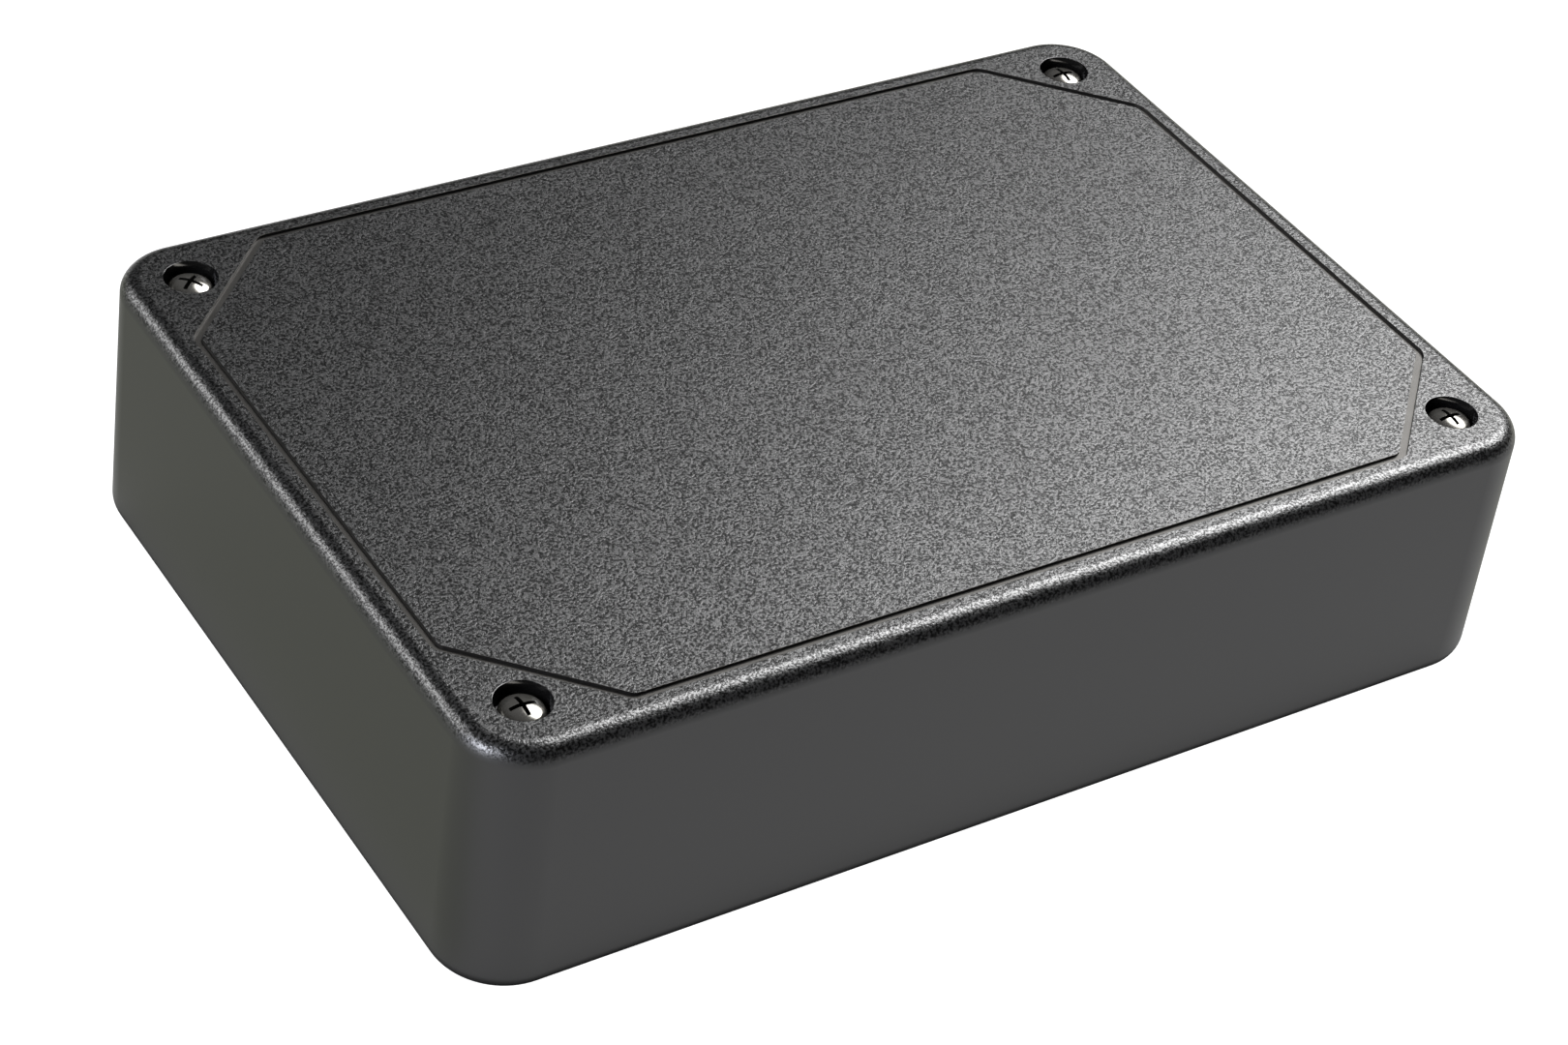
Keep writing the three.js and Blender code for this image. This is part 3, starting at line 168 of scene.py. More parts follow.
def face_outward(piece):
    """Turns every face of a closed piece to the outside."""
    bpy.ops.object.select_all(action="DESELECT")
    bpy.context.view_layer.objects.active = piece
    piece.select_set(True)
    bpy.ops.object.mode_set(mode="EDIT")
    bpy.ops.mesh.select_all(action="SELECT")
    bpy.ops.mesh.normals_make_consistent(inside=False)
    bpy.ops.object.mode_set(mode="OBJECT")


def round_corners(corners, radius, steps):
    """A convex outline with its corners replaced by arcs that touch both sides."""
    points = []
    for i, corner in enumerate(corners):
        to_last = (corners[i - 1] - corner).normalized()
        to_next = (corners[(i + 1) % len(corners)] - corner).normalized()
        half = to_last.angle(to_next) / 2
        centre = corner + (to_last + to_next).normalized() * (radius / math.sin(half))
        first = math.atan2(to_last.x, -to_last.y)
        for step in range(steps + 1):
            angle = first + (math.pi - 2 * half) * step / steps
            points.append((
                centre.x + radius * math.cos(angle),
                centre.y + radius * math.sin(angle),
            ))
    return points


def case_outline(inset):
    """Outline of the case, moved in from the foot of the walls."""
    half_x = CASE_LENGTH / 2 - inset
    half_y = CASE_WIDTH / 2 - inset
    corners = [Vector((x * half_x, y * half_y)) for x, y in AROUND]
    return round_corners(corners, CORNER_RADIUS - inset, CORNER_STEPS)


def groove_outline(offset):
    """The groove's line, a rectangle with clipped corners, moved out by an offset."""
    x = CASE_LENGTH / 2 - GROOVE_INSET_X + offset
    y = CASE_WIDTH / 2 - GROOVE_INSET_Y + offset
    clip = GROOVE_CLIP + offset * (2 - math.sqrt(2))
    corners = [
        (x - clip, -y), (x, -y + clip), (x, y - clip), (x - clip, y),
        (-x + clip, y), (-x, y - clip), (-x, -y + clip), (-x + clip, -y),
    ]
    corners = [Vector(corner) for corner in corners]
    return round_corners(corners, GROOVE_BEND + offset, GROOVE_BEND_STEPS)


def edge_arc(radius, centre_z, first, last, steps, depth=0.0):
    """Arc that touches the leaning wall, as (inset, z) levels; depth moves it inside the wall."""
    centre = LEAN * centre_z + (radius + depth) * SLANT
    levels = []
    for step in range(steps + 1):
        angle = first + (last - first) * step / steps
        levels.append((centre - radius * math.cos(angle), centre_z + radius * math.sin(angle)))
    return levels


def bottom_edge_angle(inset):
    """Angle on the rounded bottom edge where it reaches an inset."""
    centre = LEAN * BOTTOM_EDGE_RADIUS + BOTTOM_EDGE_RADIUS * SLANT
    return -math.acos((centre - inset) / BOTTOM_EDGE_RADIUS)


def loft(name, levels, outline, closed=False):
    """Body through one outline at a list of (inset, z) levels, capped or closed on itself."""
    points = []
    for inset, z in levels:
        points += [(x, y, z) for x, y in outline(inset)]
    count = len(points) // len(levels)
    faces = []
    for level in range(len(levels) if closed else len(levels) - 1):
        low = level * count
        high = (level + 1) % len(levels) * count
        for i in range(count):
            j = (i + 1) % count
            faces.append((low + i, low + j, high + j, high + i))
    if not closed:
        faces.append(tuple(reversed(range(count))))
        faces.append(tuple(range(len(points) - count, len(points))))
    body = build(name, points, faces)
    face_outward(body)
    return body


def turned(name, profile, centre, steps=48, axis="Z"):
    """Body turned about a line along +Z or +Y from (radius, distance along it) points."""
    points = []
    rows = []
    for radius, along in profile:
        row = []
        for step in range(steps if radius > 0 else 1):
            angle = 2 * math.pi * step / steps
            side = (radius * math.sin(angle), radius * math.cos(angle))
            offset = (side[0], side[1], along) if axis == "Z" else (side[0], along, side[1])
            row.append(len(points))
            points.append(tuple(c + o for c, o in zip(centre, offset)))
        rows.append(row)
    faces = []
    for one, two in zip(rows, rows[1:]):
        for i in range(steps):
            j = (i + 1) % steps
            corners = [one[i % len(one)], one[j % len(one)], two[j % len(two)], two[i % len(two)]]
            faces.append(tuple(dict.fromkeys(corners)))
    body = build(name, points, faces)
    if profile[0] == profile[-1]:
        weld(body)
    face_outward(body)
    return body


def plain_rod(name, radius, low, high, centre, steps=48, axis="Z"):
    """Plain round bar along +Z or +Y, or the cutter for a plain hole."""
    return turned(name, [(0, low), (radius, low), (radius, high), (0, high)], centre, steps, axis)


def block(name, corners):
    """Six-sided body from its four low corners and the four high ones above them."""
    faces = [(3, 2, 1, 0), (4, 5, 6, 7)]
    faces += [(i, (i + 1) % 4, (i + 1) % 4 + 4, i + 4) for i in range(4)]
    body = build(name, corners, faces)
    face_outward(body)
    return body


def weld(piece):
    """Joins points that lie on each other."""
    modifier = piece.modifiers.new("weld", "WELD")
    modifier.merge_threshold = WELD_DISTANCE * MM
    settle_modifiers(piece)


def settle_modifiers(piece):
    """Writes the piece's modifiers into its mesh."""
    graph = bpy.context.evaluated_depsgraph_get()
    mesh = bpy.data.meshes.new_from_object(piece.evaluated_get(graph))
    piece.modifiers.clear()
    piece.data = mesh


def carve(piece, operation, tools):
    """Cuts tools out of a piece, joins them on or keeps what they share, then removes them."""
    for tool in tools:
        modifier = piece.modifiers.new("carve", "BOOLEAN")
        modifier.object = tool
        modifier.operation = operation
        modifier.solver = "MANIFOLD"
        modifier.material_mode = "TRANSFER"
        settle_modifiers(piece)
        bpy.data.objects.remove(tool)


def finish_surface(piece, material=None, sharp_over=38):
    """Smooth shading with true edges kept, and the piece's material where it has none."""
    if material:
        piece.data.materials.clear()
        piece.data.materials.append(material)
    for polygon in piece.data.polygons:
        polygon.use_smooth = True
    piece.data.set_sharp_from_angle(angle=math.radians(sharp_over))
    even = piece.modifiers.new("even_normals", "WEIGHTED_NORMAL")
    even.keep_sharp = True


def linear(hex_colour):
    """An sRGB hex colour as linear red, green, blue and alpha."""
    parts = [int(hex_colour[i:i + 2], 16) / 255 for i in (1, 3, 5)]
    colour = [c / 12.92 if c <= 0.04045 else ((c + 0.055) / 1.055) ** 2.4 for c in parts]
    return tuple(colour) + (1.0,)


def add_node(tree, kind, options=None, values=None, links=None):
    """Adds a node with its options, its input values and what feeds its inputs."""
    made = tree.nodes.new(kind)
    for name, option in (options or {}).items():
        setattr(made, name, option)
    for name, value in (values or {}).items():
        made.inputs[name].default_value = value
    for name, source in (links or {}).items():
        tree.links.new(source, made.inputs[name])
    return made


def new_material(name, values):
    """An empty material with its surface shader and object coordinates."""
    material = bpy.data.materials.new(name)
    material.use_nodes = True
    tree = material.node_tree
    tree.nodes.clear()
    surface = add_node(tree, "ShaderNodeBsdfPrincipled", values=values)
    add_node(tree, "ShaderNodeOutputMaterial", links={"Surface": surface.outputs["BSDF"]})
    where = add_node(tree, "ShaderNodeTexCoord").outputs["Object"]
    return material, tree, surface, where


def spark_eroded_abs():
    """Black ABS off a spark-eroded tool: each tiny crater tilts the gloss, so the top glitters softly.

    A real fine erosion has craters about 0.15 mm across. They are drawn 0.35 mm across, so that
    they show from half a metre away. The walls, below the rounded edge, are a plain satin.
    """
    crater_mm = 0.35
    crater_depth_mm = 0.055
    wall_roughness = 0.48
    grain_roughness = 0.3
    grain_from_z = CASE_HEIGHT - 0.8 * TOP_EDGE_RADIUS
    grain_full_z = CASE_HEIGHT - 0.25 * TOP_EDGE_RADIUS
    material, tree, surface, where = new_material("black_abs_spark_eroded", {"IOR": ABS_IOR})
    craters = add_node(tree, "ShaderNodeTexNoise", values={
        "Scale": 1 / (crater_mm * MM), "Detail": 2.0, "Roughness": 0.65,
    }, links={"Vector": where}).outputs["Fac"]
    height = add_node(tree, "ShaderNodeSeparateXYZ", links={"Vector": where}).outputs["Z"]
    grained = add_node(tree, "ShaderNodeMapRange", {"interpolation_type": "SMOOTHSTEP"}, {
        "From Min": grain_from_z * MM, "From Max": grain_full_z * MM,
    }, {"Value": height}).outputs["Result"]
    even = add_node(tree, "ShaderNodeMath", {"operation": "SUBTRACT"}, {1: 0.5}, {0: craters})
    relief = add_node(tree, "ShaderNodeMath", {"operation": "MULTIPLY_ADD"}, {2: 0.5}, {
        0: even.outputs["Value"], 1: grained,
    }).outputs["Value"]
    bump = add_node(tree, "ShaderNodeBump", values={
        "Strength": 1.0, "Distance": crater_depth_mm * MM,
    }, links={"Height": relief})
    rough = add_node(tree, "ShaderNodeMapRange", values={
        "To Min": wall_roughness, "To Max": grain_roughness,
    }, links={"Value": grained})
    # The low parts of the crater relief are painted darker and less glossy: painted shade in the craters.
    pit = add_node(tree, "ShaderNodeMapRange", {"interpolation_type": "SMOOTHSTEP"}, {
        "From Min": 0.4, "From Max": 0.6,
    }, {"Value": relief}).outputs["Result"]
    colour = add_node(tree, "ShaderNodeMix", {"data_type": "RGBA"}, {
        "A": linear("#010101"), "B": linear("#1a1a1a"),
    }, {"Factor": pit})
    gloss = add_node(tree, "ShaderNodeMapRange", values={"To Min": 0.17, "To Max": 0.83}, links={
        "Value": pit,
    })
    tree.links.new(colour.outputs["Result"], surface.inputs["Base Color"])
    tree.links.new(gloss.outputs["Result"], surface.inputs["Specular IOR Level"])
    tree.links.new(rough.outputs["Result"], surface.inputs["Roughness"])
    tree.links.new(bump.outputs["Normal"], surface.inputs["Normal"])
    return material


def polished_abs(name, roughness, tint="#ffffff"):
    """The same ABS off a polished insert: dark, with a clean soft reflection and faint flow waves."""
    wave_mm = 3.0
    wave_depth_mm = 0.006
    material, tree, surface, where = new_material(name, {
        "IOR": ABS_IOR, "Base Color": linear("#0a0a0a"), "Specular Tint": linear(tint),
    })
    waves = add_node(tree, "ShaderNodeTexNoise", values={
        "Scale": 1 / (wave_mm * MM), "Detail": 2.0,
    }, links={"Vector": where})
    bump = add_node(tree, "ShaderNodeBump", values={
        "Strength": 1.0, "Distance": wave_depth_mm * MM,
    }, links={"Height": waves.outputs["Fac"]})
    rough = add_node(tree, "ShaderNodeMapRange", values={
        "To Min": roughness * 0.8, "To Max": roughness * 1.2,
    }, links={"Value": waves.outputs["Fac"]})
    tree.links.new(rough.outputs["Result"], surface.inputs["Roughness"])
    tree.links.new(bump.outputs["Normal"], surface.inputs["Normal"])
    return material


def cover_block():
    """The outside of the moulding, still solid, from the land on its rim to the top."""
    land = bottom_edge_angle(RIM_THICKNESS - RIM_LAND)
    top_centre_z = CASE_HEIGHT - TOP_EDGE_RADIUS
    levels = edge_arc(BOTTOM_EDGE_RADIUS, BOTTOM_EDGE_RADIUS, land, WALL_ANGLE, BOTTOM_EDGE_STEPS)
    levels += edge_arc(TOP_EDGE_RADIUS, top_centre_z, WALL_ANGLE, math.pi / 2, TOP_EDGE_STEPS)
    return loft("cover_moulding", levels, case_outline)


def hollow_tools():
    """Cutters for the cavity and for the rebate in the rim that takes the base plate."""
    cavity = [(WALL_THICKNESS * SLANT, -SPARE)]
    cavity += edge_arc(
        CAVITY_EDGE_RADIUS, CEILING_Z - CAVITY_EDGE_RADIUS, WALL_ANGLE, math.pi / 2,
        CAVITY_EDGE_STEPS, WALL_THICKNESS,
    )
    rebate = [(RIM_THICKNESS, -SPARE), (RIM_THICKNESS, PLATE_THICKNESS + REBATE_CLEARANCE)]
    return [loft("cavity", cavity, case_outline), loft("rebate", rebate, case_outline)]


def groove_tool(finish):
    """Cutter that runs round the groove, with a small rounded lip at both of its edges."""
    half = GROOVE_WIDTH / 2
    section = [
        (-half - GROOVE_LIP, CASE_HEIGHT + SPARE / 2),
        (-half - GROOVE_LIP, CASE_HEIGHT),
        (-half - GROOVE_LIP * ARC_MIDDLE, CASE_HEIGHT - GROOVE_LIP * ARC_MIDDLE),
        (-half, CASE_HEIGHT - GROOVE_LIP),
        (-half, CASE_HEIGHT - GROOVE_DEPTH),
    ]
    section += [(-offset, z) for offset, z in reversed(section)]
    groove = loft("groove", section, groove_outline, closed=True)
    groove.data.materials.append(finish)
    return groove


def well_tools(centre, finish):
    """Cutters for a screw well, with a rounded foot and lip, and for the hole through its floor."""
    well = turned("well", [
        (0, SEAT_Z),
        (WELL_RADIUS - WELL_FOOT, SEAT_Z),
        (WELL_RADIUS - WELL_FOOT_MIDDLE, SEAT_Z + WELL_FOOT_MIDDLE),
        (WELL_RADIUS, SEAT_Z + WELL_FOOT),
        (WELL_RADIUS, CASE_HEIGHT - WELL_LIP),
        (WELL_RADIUS + WELL_LIP * ARC_MIDDLE, CASE_HEIGHT - WELL_LIP * ARC_MIDDLE),
        (WELL_RADIUS + WELL_LIP, CASE_HEIGHT),
        (WELL_RADIUS + WELL_LIP, CASE_HEIGHT + SPARE),
        (0, CASE_HEIGHT + SPARE),
    ], centre, 64)
    well.data.materials.append(finish)
    return [well, plain_rod("screw_hole", SCREW_HOLE_RADIUS, POST_TOP_Z - SPARE, SEAT_Z + SPARE, centre)]


def port_tools(centre, hole, land, finish):
    """Cutters for a port: a flat land on the leaning wall and the hole through it."""
    tools = [
        turned("land", [
            (0, LAND_Y), (land - LAND_FOOT, LAND_Y), (land, LAND_Y + LAND_FOOT),
            (land, LAND_Y + LAND_CLEAR), (0, LAND_Y + LAND_CLEAR),
        ], centre, 64, "Y"),
        plain_rod("hole", hole, PAD_Y - SPARE, LAND_Y + SPARE, centre, axis="Y"),
    ]
    for tool in tools:
        tool.data.materials.append(finish)
    return tools


def make_cover():
    """The moulding: outside, cavity, rim rebate, bosses, wells, groove and port holes."""
    cover = cover_block()
    cover.data.materials.append(spark_eroded_abs())
    well_finish = polished_abs("black_abs_polished_well", 0.08)
    groove_finish = polished_abs("black_abs_polished_groove", 0.38, "#fffaf2")
    carve(cover, "DIFFERENCE", hollow_tools())
    added = []
    removed = [groove_tool(groove_finish)]
    for side_x, side_y in CORNERS:
        centre = (side_x * SCREW_X, side_y * SCREW_Y, 0)
        added.append(plain_rod("boss", WELL_RADIUS + WELL_WALL, POST_TOP_Z, CEILING_Z + SPARE, centre))
        removed += well_tools(centre, well_finish)
    for node, hole, land, padded in PORTS:
        low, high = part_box(node)
        centre = ((low[0] + high[0]) / 2 / MM, 0, (low[2] + high[2]) / 2 / MM)
        if padded:
            added.append(plain_rod("pad", land, PAD_Y, LAND_Y - SPARE, centre, axis="Y"))
        removed += port_tools(centre, hole, land, groove_finish)
    carve(cover, "UNION", added)
    carve(cover, "DIFFERENCE", removed)
    finish_surface(cover)
    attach(cover, "root")
    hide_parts("top_cover")


make_cover()

# ---------------------------------------------------------------- base plate
# A flat ABS moulding let into the rim, so that only a hairline shows under the rounded edge.
# A lip inside the wall, four tall screw posts and four board standoffs rise from it.

PLATE_GAP = 0.15
PLATE_INSET = RIM_THICKNESS + PLATE_GAP
PLATE_EASE = 0.3
LIP_GAP = 0.3
LIP_INSET = WALL_THICKNESS + LIP_GAP
LIP_THICKNESS = 1.2
LIP_TOP_Z = PLATE_THICKNESS + 2.6
LIP_EASE = 0.4
POST_FOOT_RADIUS = 4.6
POST_TOP_RADIUS = 3.9
POST_BORE_RADIUS = 1.6
POST_BORE_DEPTH = 11.0
INSERT_BORE_RADIUS = 2.12
RIB_REACH = 6.0
RIB_HEIGHT = 18.0
RIB_THICKNESS = 1.2
RIB_TOE = 1.0
STANDOFF_INSET = 6.5
STANDOFF_RADIUS = 3.0
STANDOFF_BORE_RADIUS = 1.3
ROOT_Z = PLATE_THICKNESS / 2


def mottled(name, dark, light, grain_mm, roughness, relief_mm=0.0, detail=3.0, **values):
    """A finish with two close colours, a gloss that follows them and a shallow relief."""
    values = {key.replace("_", " "): value for key, value in values.items()}
    material, tree, surface, where = new_material(name, values)
    grain = add_node(tree, "ShaderNodeTexNoise", values={
        "Scale": 1 / (grain_mm * MM), "Detail": detail,
    }, links={"Vector": where}).outputs["Fac"]
    colour = add_node(tree, "ShaderNodeMix", {"data_type": "RGBA"}, {
        "A": linear(dark), "B": linear(light),
    }, {"Factor": grain})
    rough = add_node(tree, "ShaderNodeMapRange", values={
        "To Min": roughness[0], "To Max": roughness[1],
    }, links={"Value": grain})
    tree.links.new(colour.outputs["Result"], surface.inputs["Base Color"])
    tree.links.new(rough.outputs["Result"], surface.inputs["Roughness"])
    if relief_mm:
        bump = add_node(tree, "ShaderNodeBump", values={
            "Strength": 1.0, "Distance": relief_mm * MM,
        }, links={"Height": grain})
        tree.links.new(bump.outputs["Normal"], surface.inputs["Normal"])
    return material


def satin_abs():
    """Black ABS off a plain ground tool: an even satin with a very fine tooth, drawn 0.5 mm across."""
    return mottled(
        "black_abs_satin", "#151514", "#1b1b1a", 0.5, (0.42, 0.55), 0.02, detail=2.0, IOR=ABS_IOR,
    )


def locating_lip():
    """The lip that centres the plate inside the walls, eased along its outer top edge."""
    return loft("lip", [
        (LIP_INSET, ROOT_Z), (LIP_INSET, LIP_TOP_Z - LIP_EASE), (LIP_INSET + LIP_EASE, LIP_TOP_Z),
        (LIP_INSET + LIP_THICKNESS, LIP_TOP_Z), (LIP_INSET + LIP_THICKNESS, ROOT_Z),
    ], case_outline, closed=True)


def screw_post(centre):
    """A tapered post and the cutter for its stepped bore, wide where the brass insert sits."""
    insert_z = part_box("threaded_insert_1")[0][2] / MM
    bore_z = SEAT_Z - POST_BORE_DEPTH
    post = turned("post", [
        (0, ROOT_Z), (POST_FOOT_RADIUS, ROOT_Z), (POST_FOOT_RADIUS, PLATE_THICKNESS),
        (POST_TOP_RADIUS, POST_TOP_Z - PLATE_EASE), (POST_TOP_RADIUS - PLATE_EASE, POST_TOP_Z),
        (0, POST_TOP_Z),
    ], centre)
    bore = turned("post_bore", [
        (0, bore_z), (POST_BORE_RADIUS, bore_z), (POST_BORE_RADIUS, insert_z),
        (INSERT_BORE_RADIUS, insert_z), (INSERT_BORE_RADIUS, POST_TOP_Z + SPARE), (0, POST_TOP_Z + SPARE),
    ], centre)
    return post, bore


def post_rib(side_x, side_y):
    """Sloping rib that props a post from the side nearer the middle of the case."""
    toe = POST_FOOT_RADIUS + RIB_REACH
    outline = [
        (0, ROOT_Z), (toe, ROOT_Z), (toe, PLATE_THICKNESS + RIB_TOE),
        (POST_FOOT_RADIUS / 2, PLATE_THICKNESS + RIB_HEIGHT), (0, PLATE_THICKNESS + RIB_HEIGHT),
    ]
    count = len(outline)
    points = [
        (side_x * SCREW_X + across * RIB_THICKNESS / 2, side_y * (SCREW_Y - along), z)
        for across in (-1, 1) for along, z in outline
    ]
    faces = [tuple(range(count)), tuple(reversed(range(count, 2 * count)))]
    faces += [(i, i + count, (i + 1) % count + count, (i + 1) % count) for i in range(count)]
    rib = build("rib", points, faces)
    face_outward(rib)
    return rib


def standoff(side_x, side_y):
    """A board standoff and the cutter for its screw hole."""
    board_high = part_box("circuit_board")[1]
    board_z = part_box("circuit_board")[0][2] / MM
    centre = (
        side_x * (board_high[0] / MM - STANDOFF_INSET),
        side_y * (board_high[1] / MM - STANDOFF_INSET),
        0,
    )
    stand = plain_rod("standoff", STANDOFF_RADIUS, ROOT_Z, board_z, centre)
    bore_z = PLATE_THICKNESS + REBATE_CLEARANCE
    return stand, plain_rod("standoff_bore", STANDOFF_BORE_RADIUS, bore_z, board_z + SPARE, centre)


def make_base_plate():
    """Plate, locating lip, posts and standoffs in one body."""
    edge = bottom_edge_angle(PLATE_INSET)
    levels = edge_arc(BOTTOM_EDGE_RADIUS, BOTTOM_EDGE_RADIUS, -math.pi / 2, edge, 8)
    levels += [(PLATE_INSET, PLATE_THICKNESS - PLATE_EASE), (PLATE_INSET + PLATE_EASE, PLATE_THICKNESS)]
    plate = loft("base_moulding", levels, case_outline)
    added = [locating_lip()]
    removed = []
    for side_x, side_y in CORNERS:
        post, post_bore = screw_post((side_x * SCREW_X, side_y * SCREW_Y, 0))
        stand, stand_bore = standoff(side_x, side_y)
        added += [post, post_rib(side_x, side_y), stand]
        removed += [post_bore, stand_bore]
    carve(plate, "UNION", added)
    carve(plate, "DIFFERENCE", removed)
    finish_surface(plate, satin_abs())
    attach(plate, "root")
    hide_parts("base_plate")


make_base_plate()

# ---------------------------------------------------------------- cover screws
# Four M3 x 10 steel pan-head screws with a cross recess, cold-headed, thread-rolled and
# nickel-plated, sunk in the wells. The one at the back left stopped about 40 degrees round.

HEAD_RADIUS = 3.0
HEAD_RIM = 1.5
HEAD_HEIGHT = 2.4
HEAD_EASE = 0.3
DOME_EASE = 0.12
DOME_STEPS = 14
RECESS_SPAN = 4.9
RECESS_WING = 0.58
RECESS_DEPTH = 1.5
SCREW_LENGTH = 10.0
SCREW_RADIUS = 1.5
SCREW_PITCH = 0.5
SCREW_THREAD_DEPTH = 0.28
SCREW_NECK = 0.15
SCREW_TURNS = [0, 0, 40, 0]
THREAD_ROWS = 8
THREAD_FLANK = 4.8
THREAD_ROOT = 0.7


def threaded(name, radius, depth, pitch, low, high, centre, steps=24, axis="Z"):
    """Rod with a real helical thread: the radius dips once in each pitch as it climbs."""
    rows = int(round((high - low) / pitch * THREAD_ROWS))
    points = []
    for row in range(rows + 1):
        along = low + (high - low) * row / rows
        fade = min(1.0, (along - low) / pitch + SCREW_NECK, (high - along) / pitch + SCREW_NECK)
        for step in range(steps):
            angle = 2 * math.pi * step / steps
            phase = (along / pitch - step / steps) % 1.0
            crest = min(1.0, max(0.0, THREAD_FLANK * abs(phase - 0.5) - THREAD_ROOT))
            reach = radius - depth * (1 - crest * fade)
            side = (reach * math.sin(angle), reach * math.cos(angle))
            offset = (side[0], side[1], along) if axis == "Z" else (side[0], along, side[1])
            points.append(tuple(c + o for c, o in zip(centre, offset)))
    faces = []
    for row in range(rows):
        for step in range(steps):
            one = row * steps + step
            two = row * steps + (step + 1) % steps
            faces.append((one, two, two + steps, one + steps))
    faces.append(tuple(reversed(range(steps))))
    faces.append(tuple(range(len(points) - steps, len(points))))
    rod = build(name, points, faces)
    face_outward(rod)
    return rod


def nickel_plate():
    """Bright nickel over headed steel: a warm mirror, softened by faint tool marks and a thin haze."""
    mark_mm = 0.25
    mark_depth_mm = 0.0006
    material, tree, surface, where = new_material("nickel_plate", {
        "Metallic": 0.86, "Base Color": linear("#7c7a75"),
    })
    marks = add_node(tree, "ShaderNodeTexNoise", values={
        "Scale": 1 / (mark_mm * MM), "Detail": 3.0,
    }, links={"Vector": where})
    rough = add_node(tree, "ShaderNodeMapRange", values={"To Min": 0.12, "To Max": 0.22}, links={
        "Value": marks.outputs["Fac"],
    })
    bump = add_node(tree, "ShaderNodeBump", values={"Strength": 1.0, "Distance": mark_depth_mm * MM}, links={
        "Height": marks.outputs["Fac"],
    })
    tree.links.new(rough.outputs["Result"], surface.inputs["Roughness"])
    tree.links.new(bump.outputs["Normal"], surface.inputs["Normal"])
    return material


def painted_shade_nickel():
    """Nickel painted dull and almost black for the cross recess: painted shade in the deep slots, mottled at
    random.
    """
    shade_mottle_mm = 0.4
    material, tree, surface, where = new_material("nickel_recess_painted_shade", {
        "Metallic": 1.0, "Roughness": 0.5,
    })
    shade_mottle = add_node(tree, "ShaderNodeTexNoise", values={"Scale": 1 / (shade_mottle_mm * MM)}, links={
        "Vector": where,
    })
    colour = add_node(tree, "ShaderNodeMix", {"data_type": "RGBA"}, {
        "A": linear("#0c0c0c"), "B": linear("#262523"),
    }, {"Factor": shade_mottle.outputs["Fac"]})
    tree.links.new(colour.outputs["Result"], surface.inputs["Base Color"])
    return material


NICKEL = nickel_plate()
PAINTED_SHADE_NICKEL = painted_shade_nickel()


def cross_recess(centre, turn):
    """Cutter for a cross recess: two tapered wings that narrow towards the bottom."""
    top_z = SEAT_Z + HEAD_HEIGHT
    levels = [
        (top_z - RECESS_DEPTH, RECESS_SPAN * 0.3, RECESS_WING * 0.6),
        (top_z + SPARE / 2, RECESS_SPAN, RECESS_WING * 1.15),
    ]
    cutters = []
    for quarter in (0, 90):
        angle = math.radians(turn + quarter)
        corners = []
        for z, length, width in levels:
            for x, y in AROUND:
                along = x * length / 2
                across = y * width / 2
                corners.append((
                    centre[0] + along * math.cos(angle) - across * math.sin(angle),
                    centre[1] + along * math.sin(angle) + across * math.cos(angle),
                    z,
                ))
        cutter = block("wing", corners)
        # The recess faces take the nickel painted almost black: painted shade in the cross.
        cutter.data.materials.append(PAINTED_SHADE_NICKEL)
        cutters.append(cutter)
    return cutters


def make_cover_screw(number, side_x, side_y, turn):
    """One screw: domed head with its recess, and a threaded shank."""
    centre = (side_x * SCREW_X, side_y * SCREW_Y, SEAT_Z)
    rise = HEAD_HEIGHT - HEAD_RIM
    dome = (HEAD_RADIUS ** 2 + rise ** 2) / (2 * rise)
    neck = SCREW_RADIUS - 0.1
    profile = [
        (0, -HEAD_EASE), (neck, -HEAD_EASE), (neck, 0),
        (HEAD_RADIUS - HEAD_EASE, 0), (HEAD_RADIUS - HEAD_EASE / 3, HEAD_EASE / 3),
        (HEAD_RADIUS, HEAD_EASE), (HEAD_RADIUS, HEAD_RIM - HEAD_EASE),
        (HEAD_RADIUS - DOME_EASE / 3, HEAD_RIM - DOME_EASE),
    ]
    for step in range(1, DOME_STEPS):
        across = (HEAD_RADIUS - DOME_EASE) * (1 - step / DOME_STEPS)
        profile.append((across, HEAD_HEIGHT - dome + math.sqrt(dome ** 2 - across ** 2)))
    profile.append((0, HEAD_HEIGHT))
    screw = turned(f"pan_head_screw_{number}", profile, centre)
    screw.data.materials.append(NICKEL)
    carve(screw, "DIFFERENCE", cross_recess(centre, turn))
    shank = threaded(
        "shank", SCREW_RADIUS, SCREW_THREAD_DEPTH, SCREW_PITCH, -SCREW_LENGTH, -SCREW_NECK, centre,
    )
    shank.data.materials.append(NICKEL)
    carve(screw, "UNION", [shank])
    finish_surface(screw)
    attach(screw, "root")
    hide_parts(f"cover_screw_{number}")


for number, (side_x, side_y) in enumerate(CORNERS, 1):
    make_cover_screw(number, side_x, side_y, SCREW_TURNS[number - 1])

# ---------------------------------------------------------------- antenna jacks
# Two bulkhead jacks turned from brass and gold-plated: a hexagon inside the wall, a quarter-inch
# thread through it, a lock washer and a hexagon nut outside, a PTFE sleeve and a slotted contact.

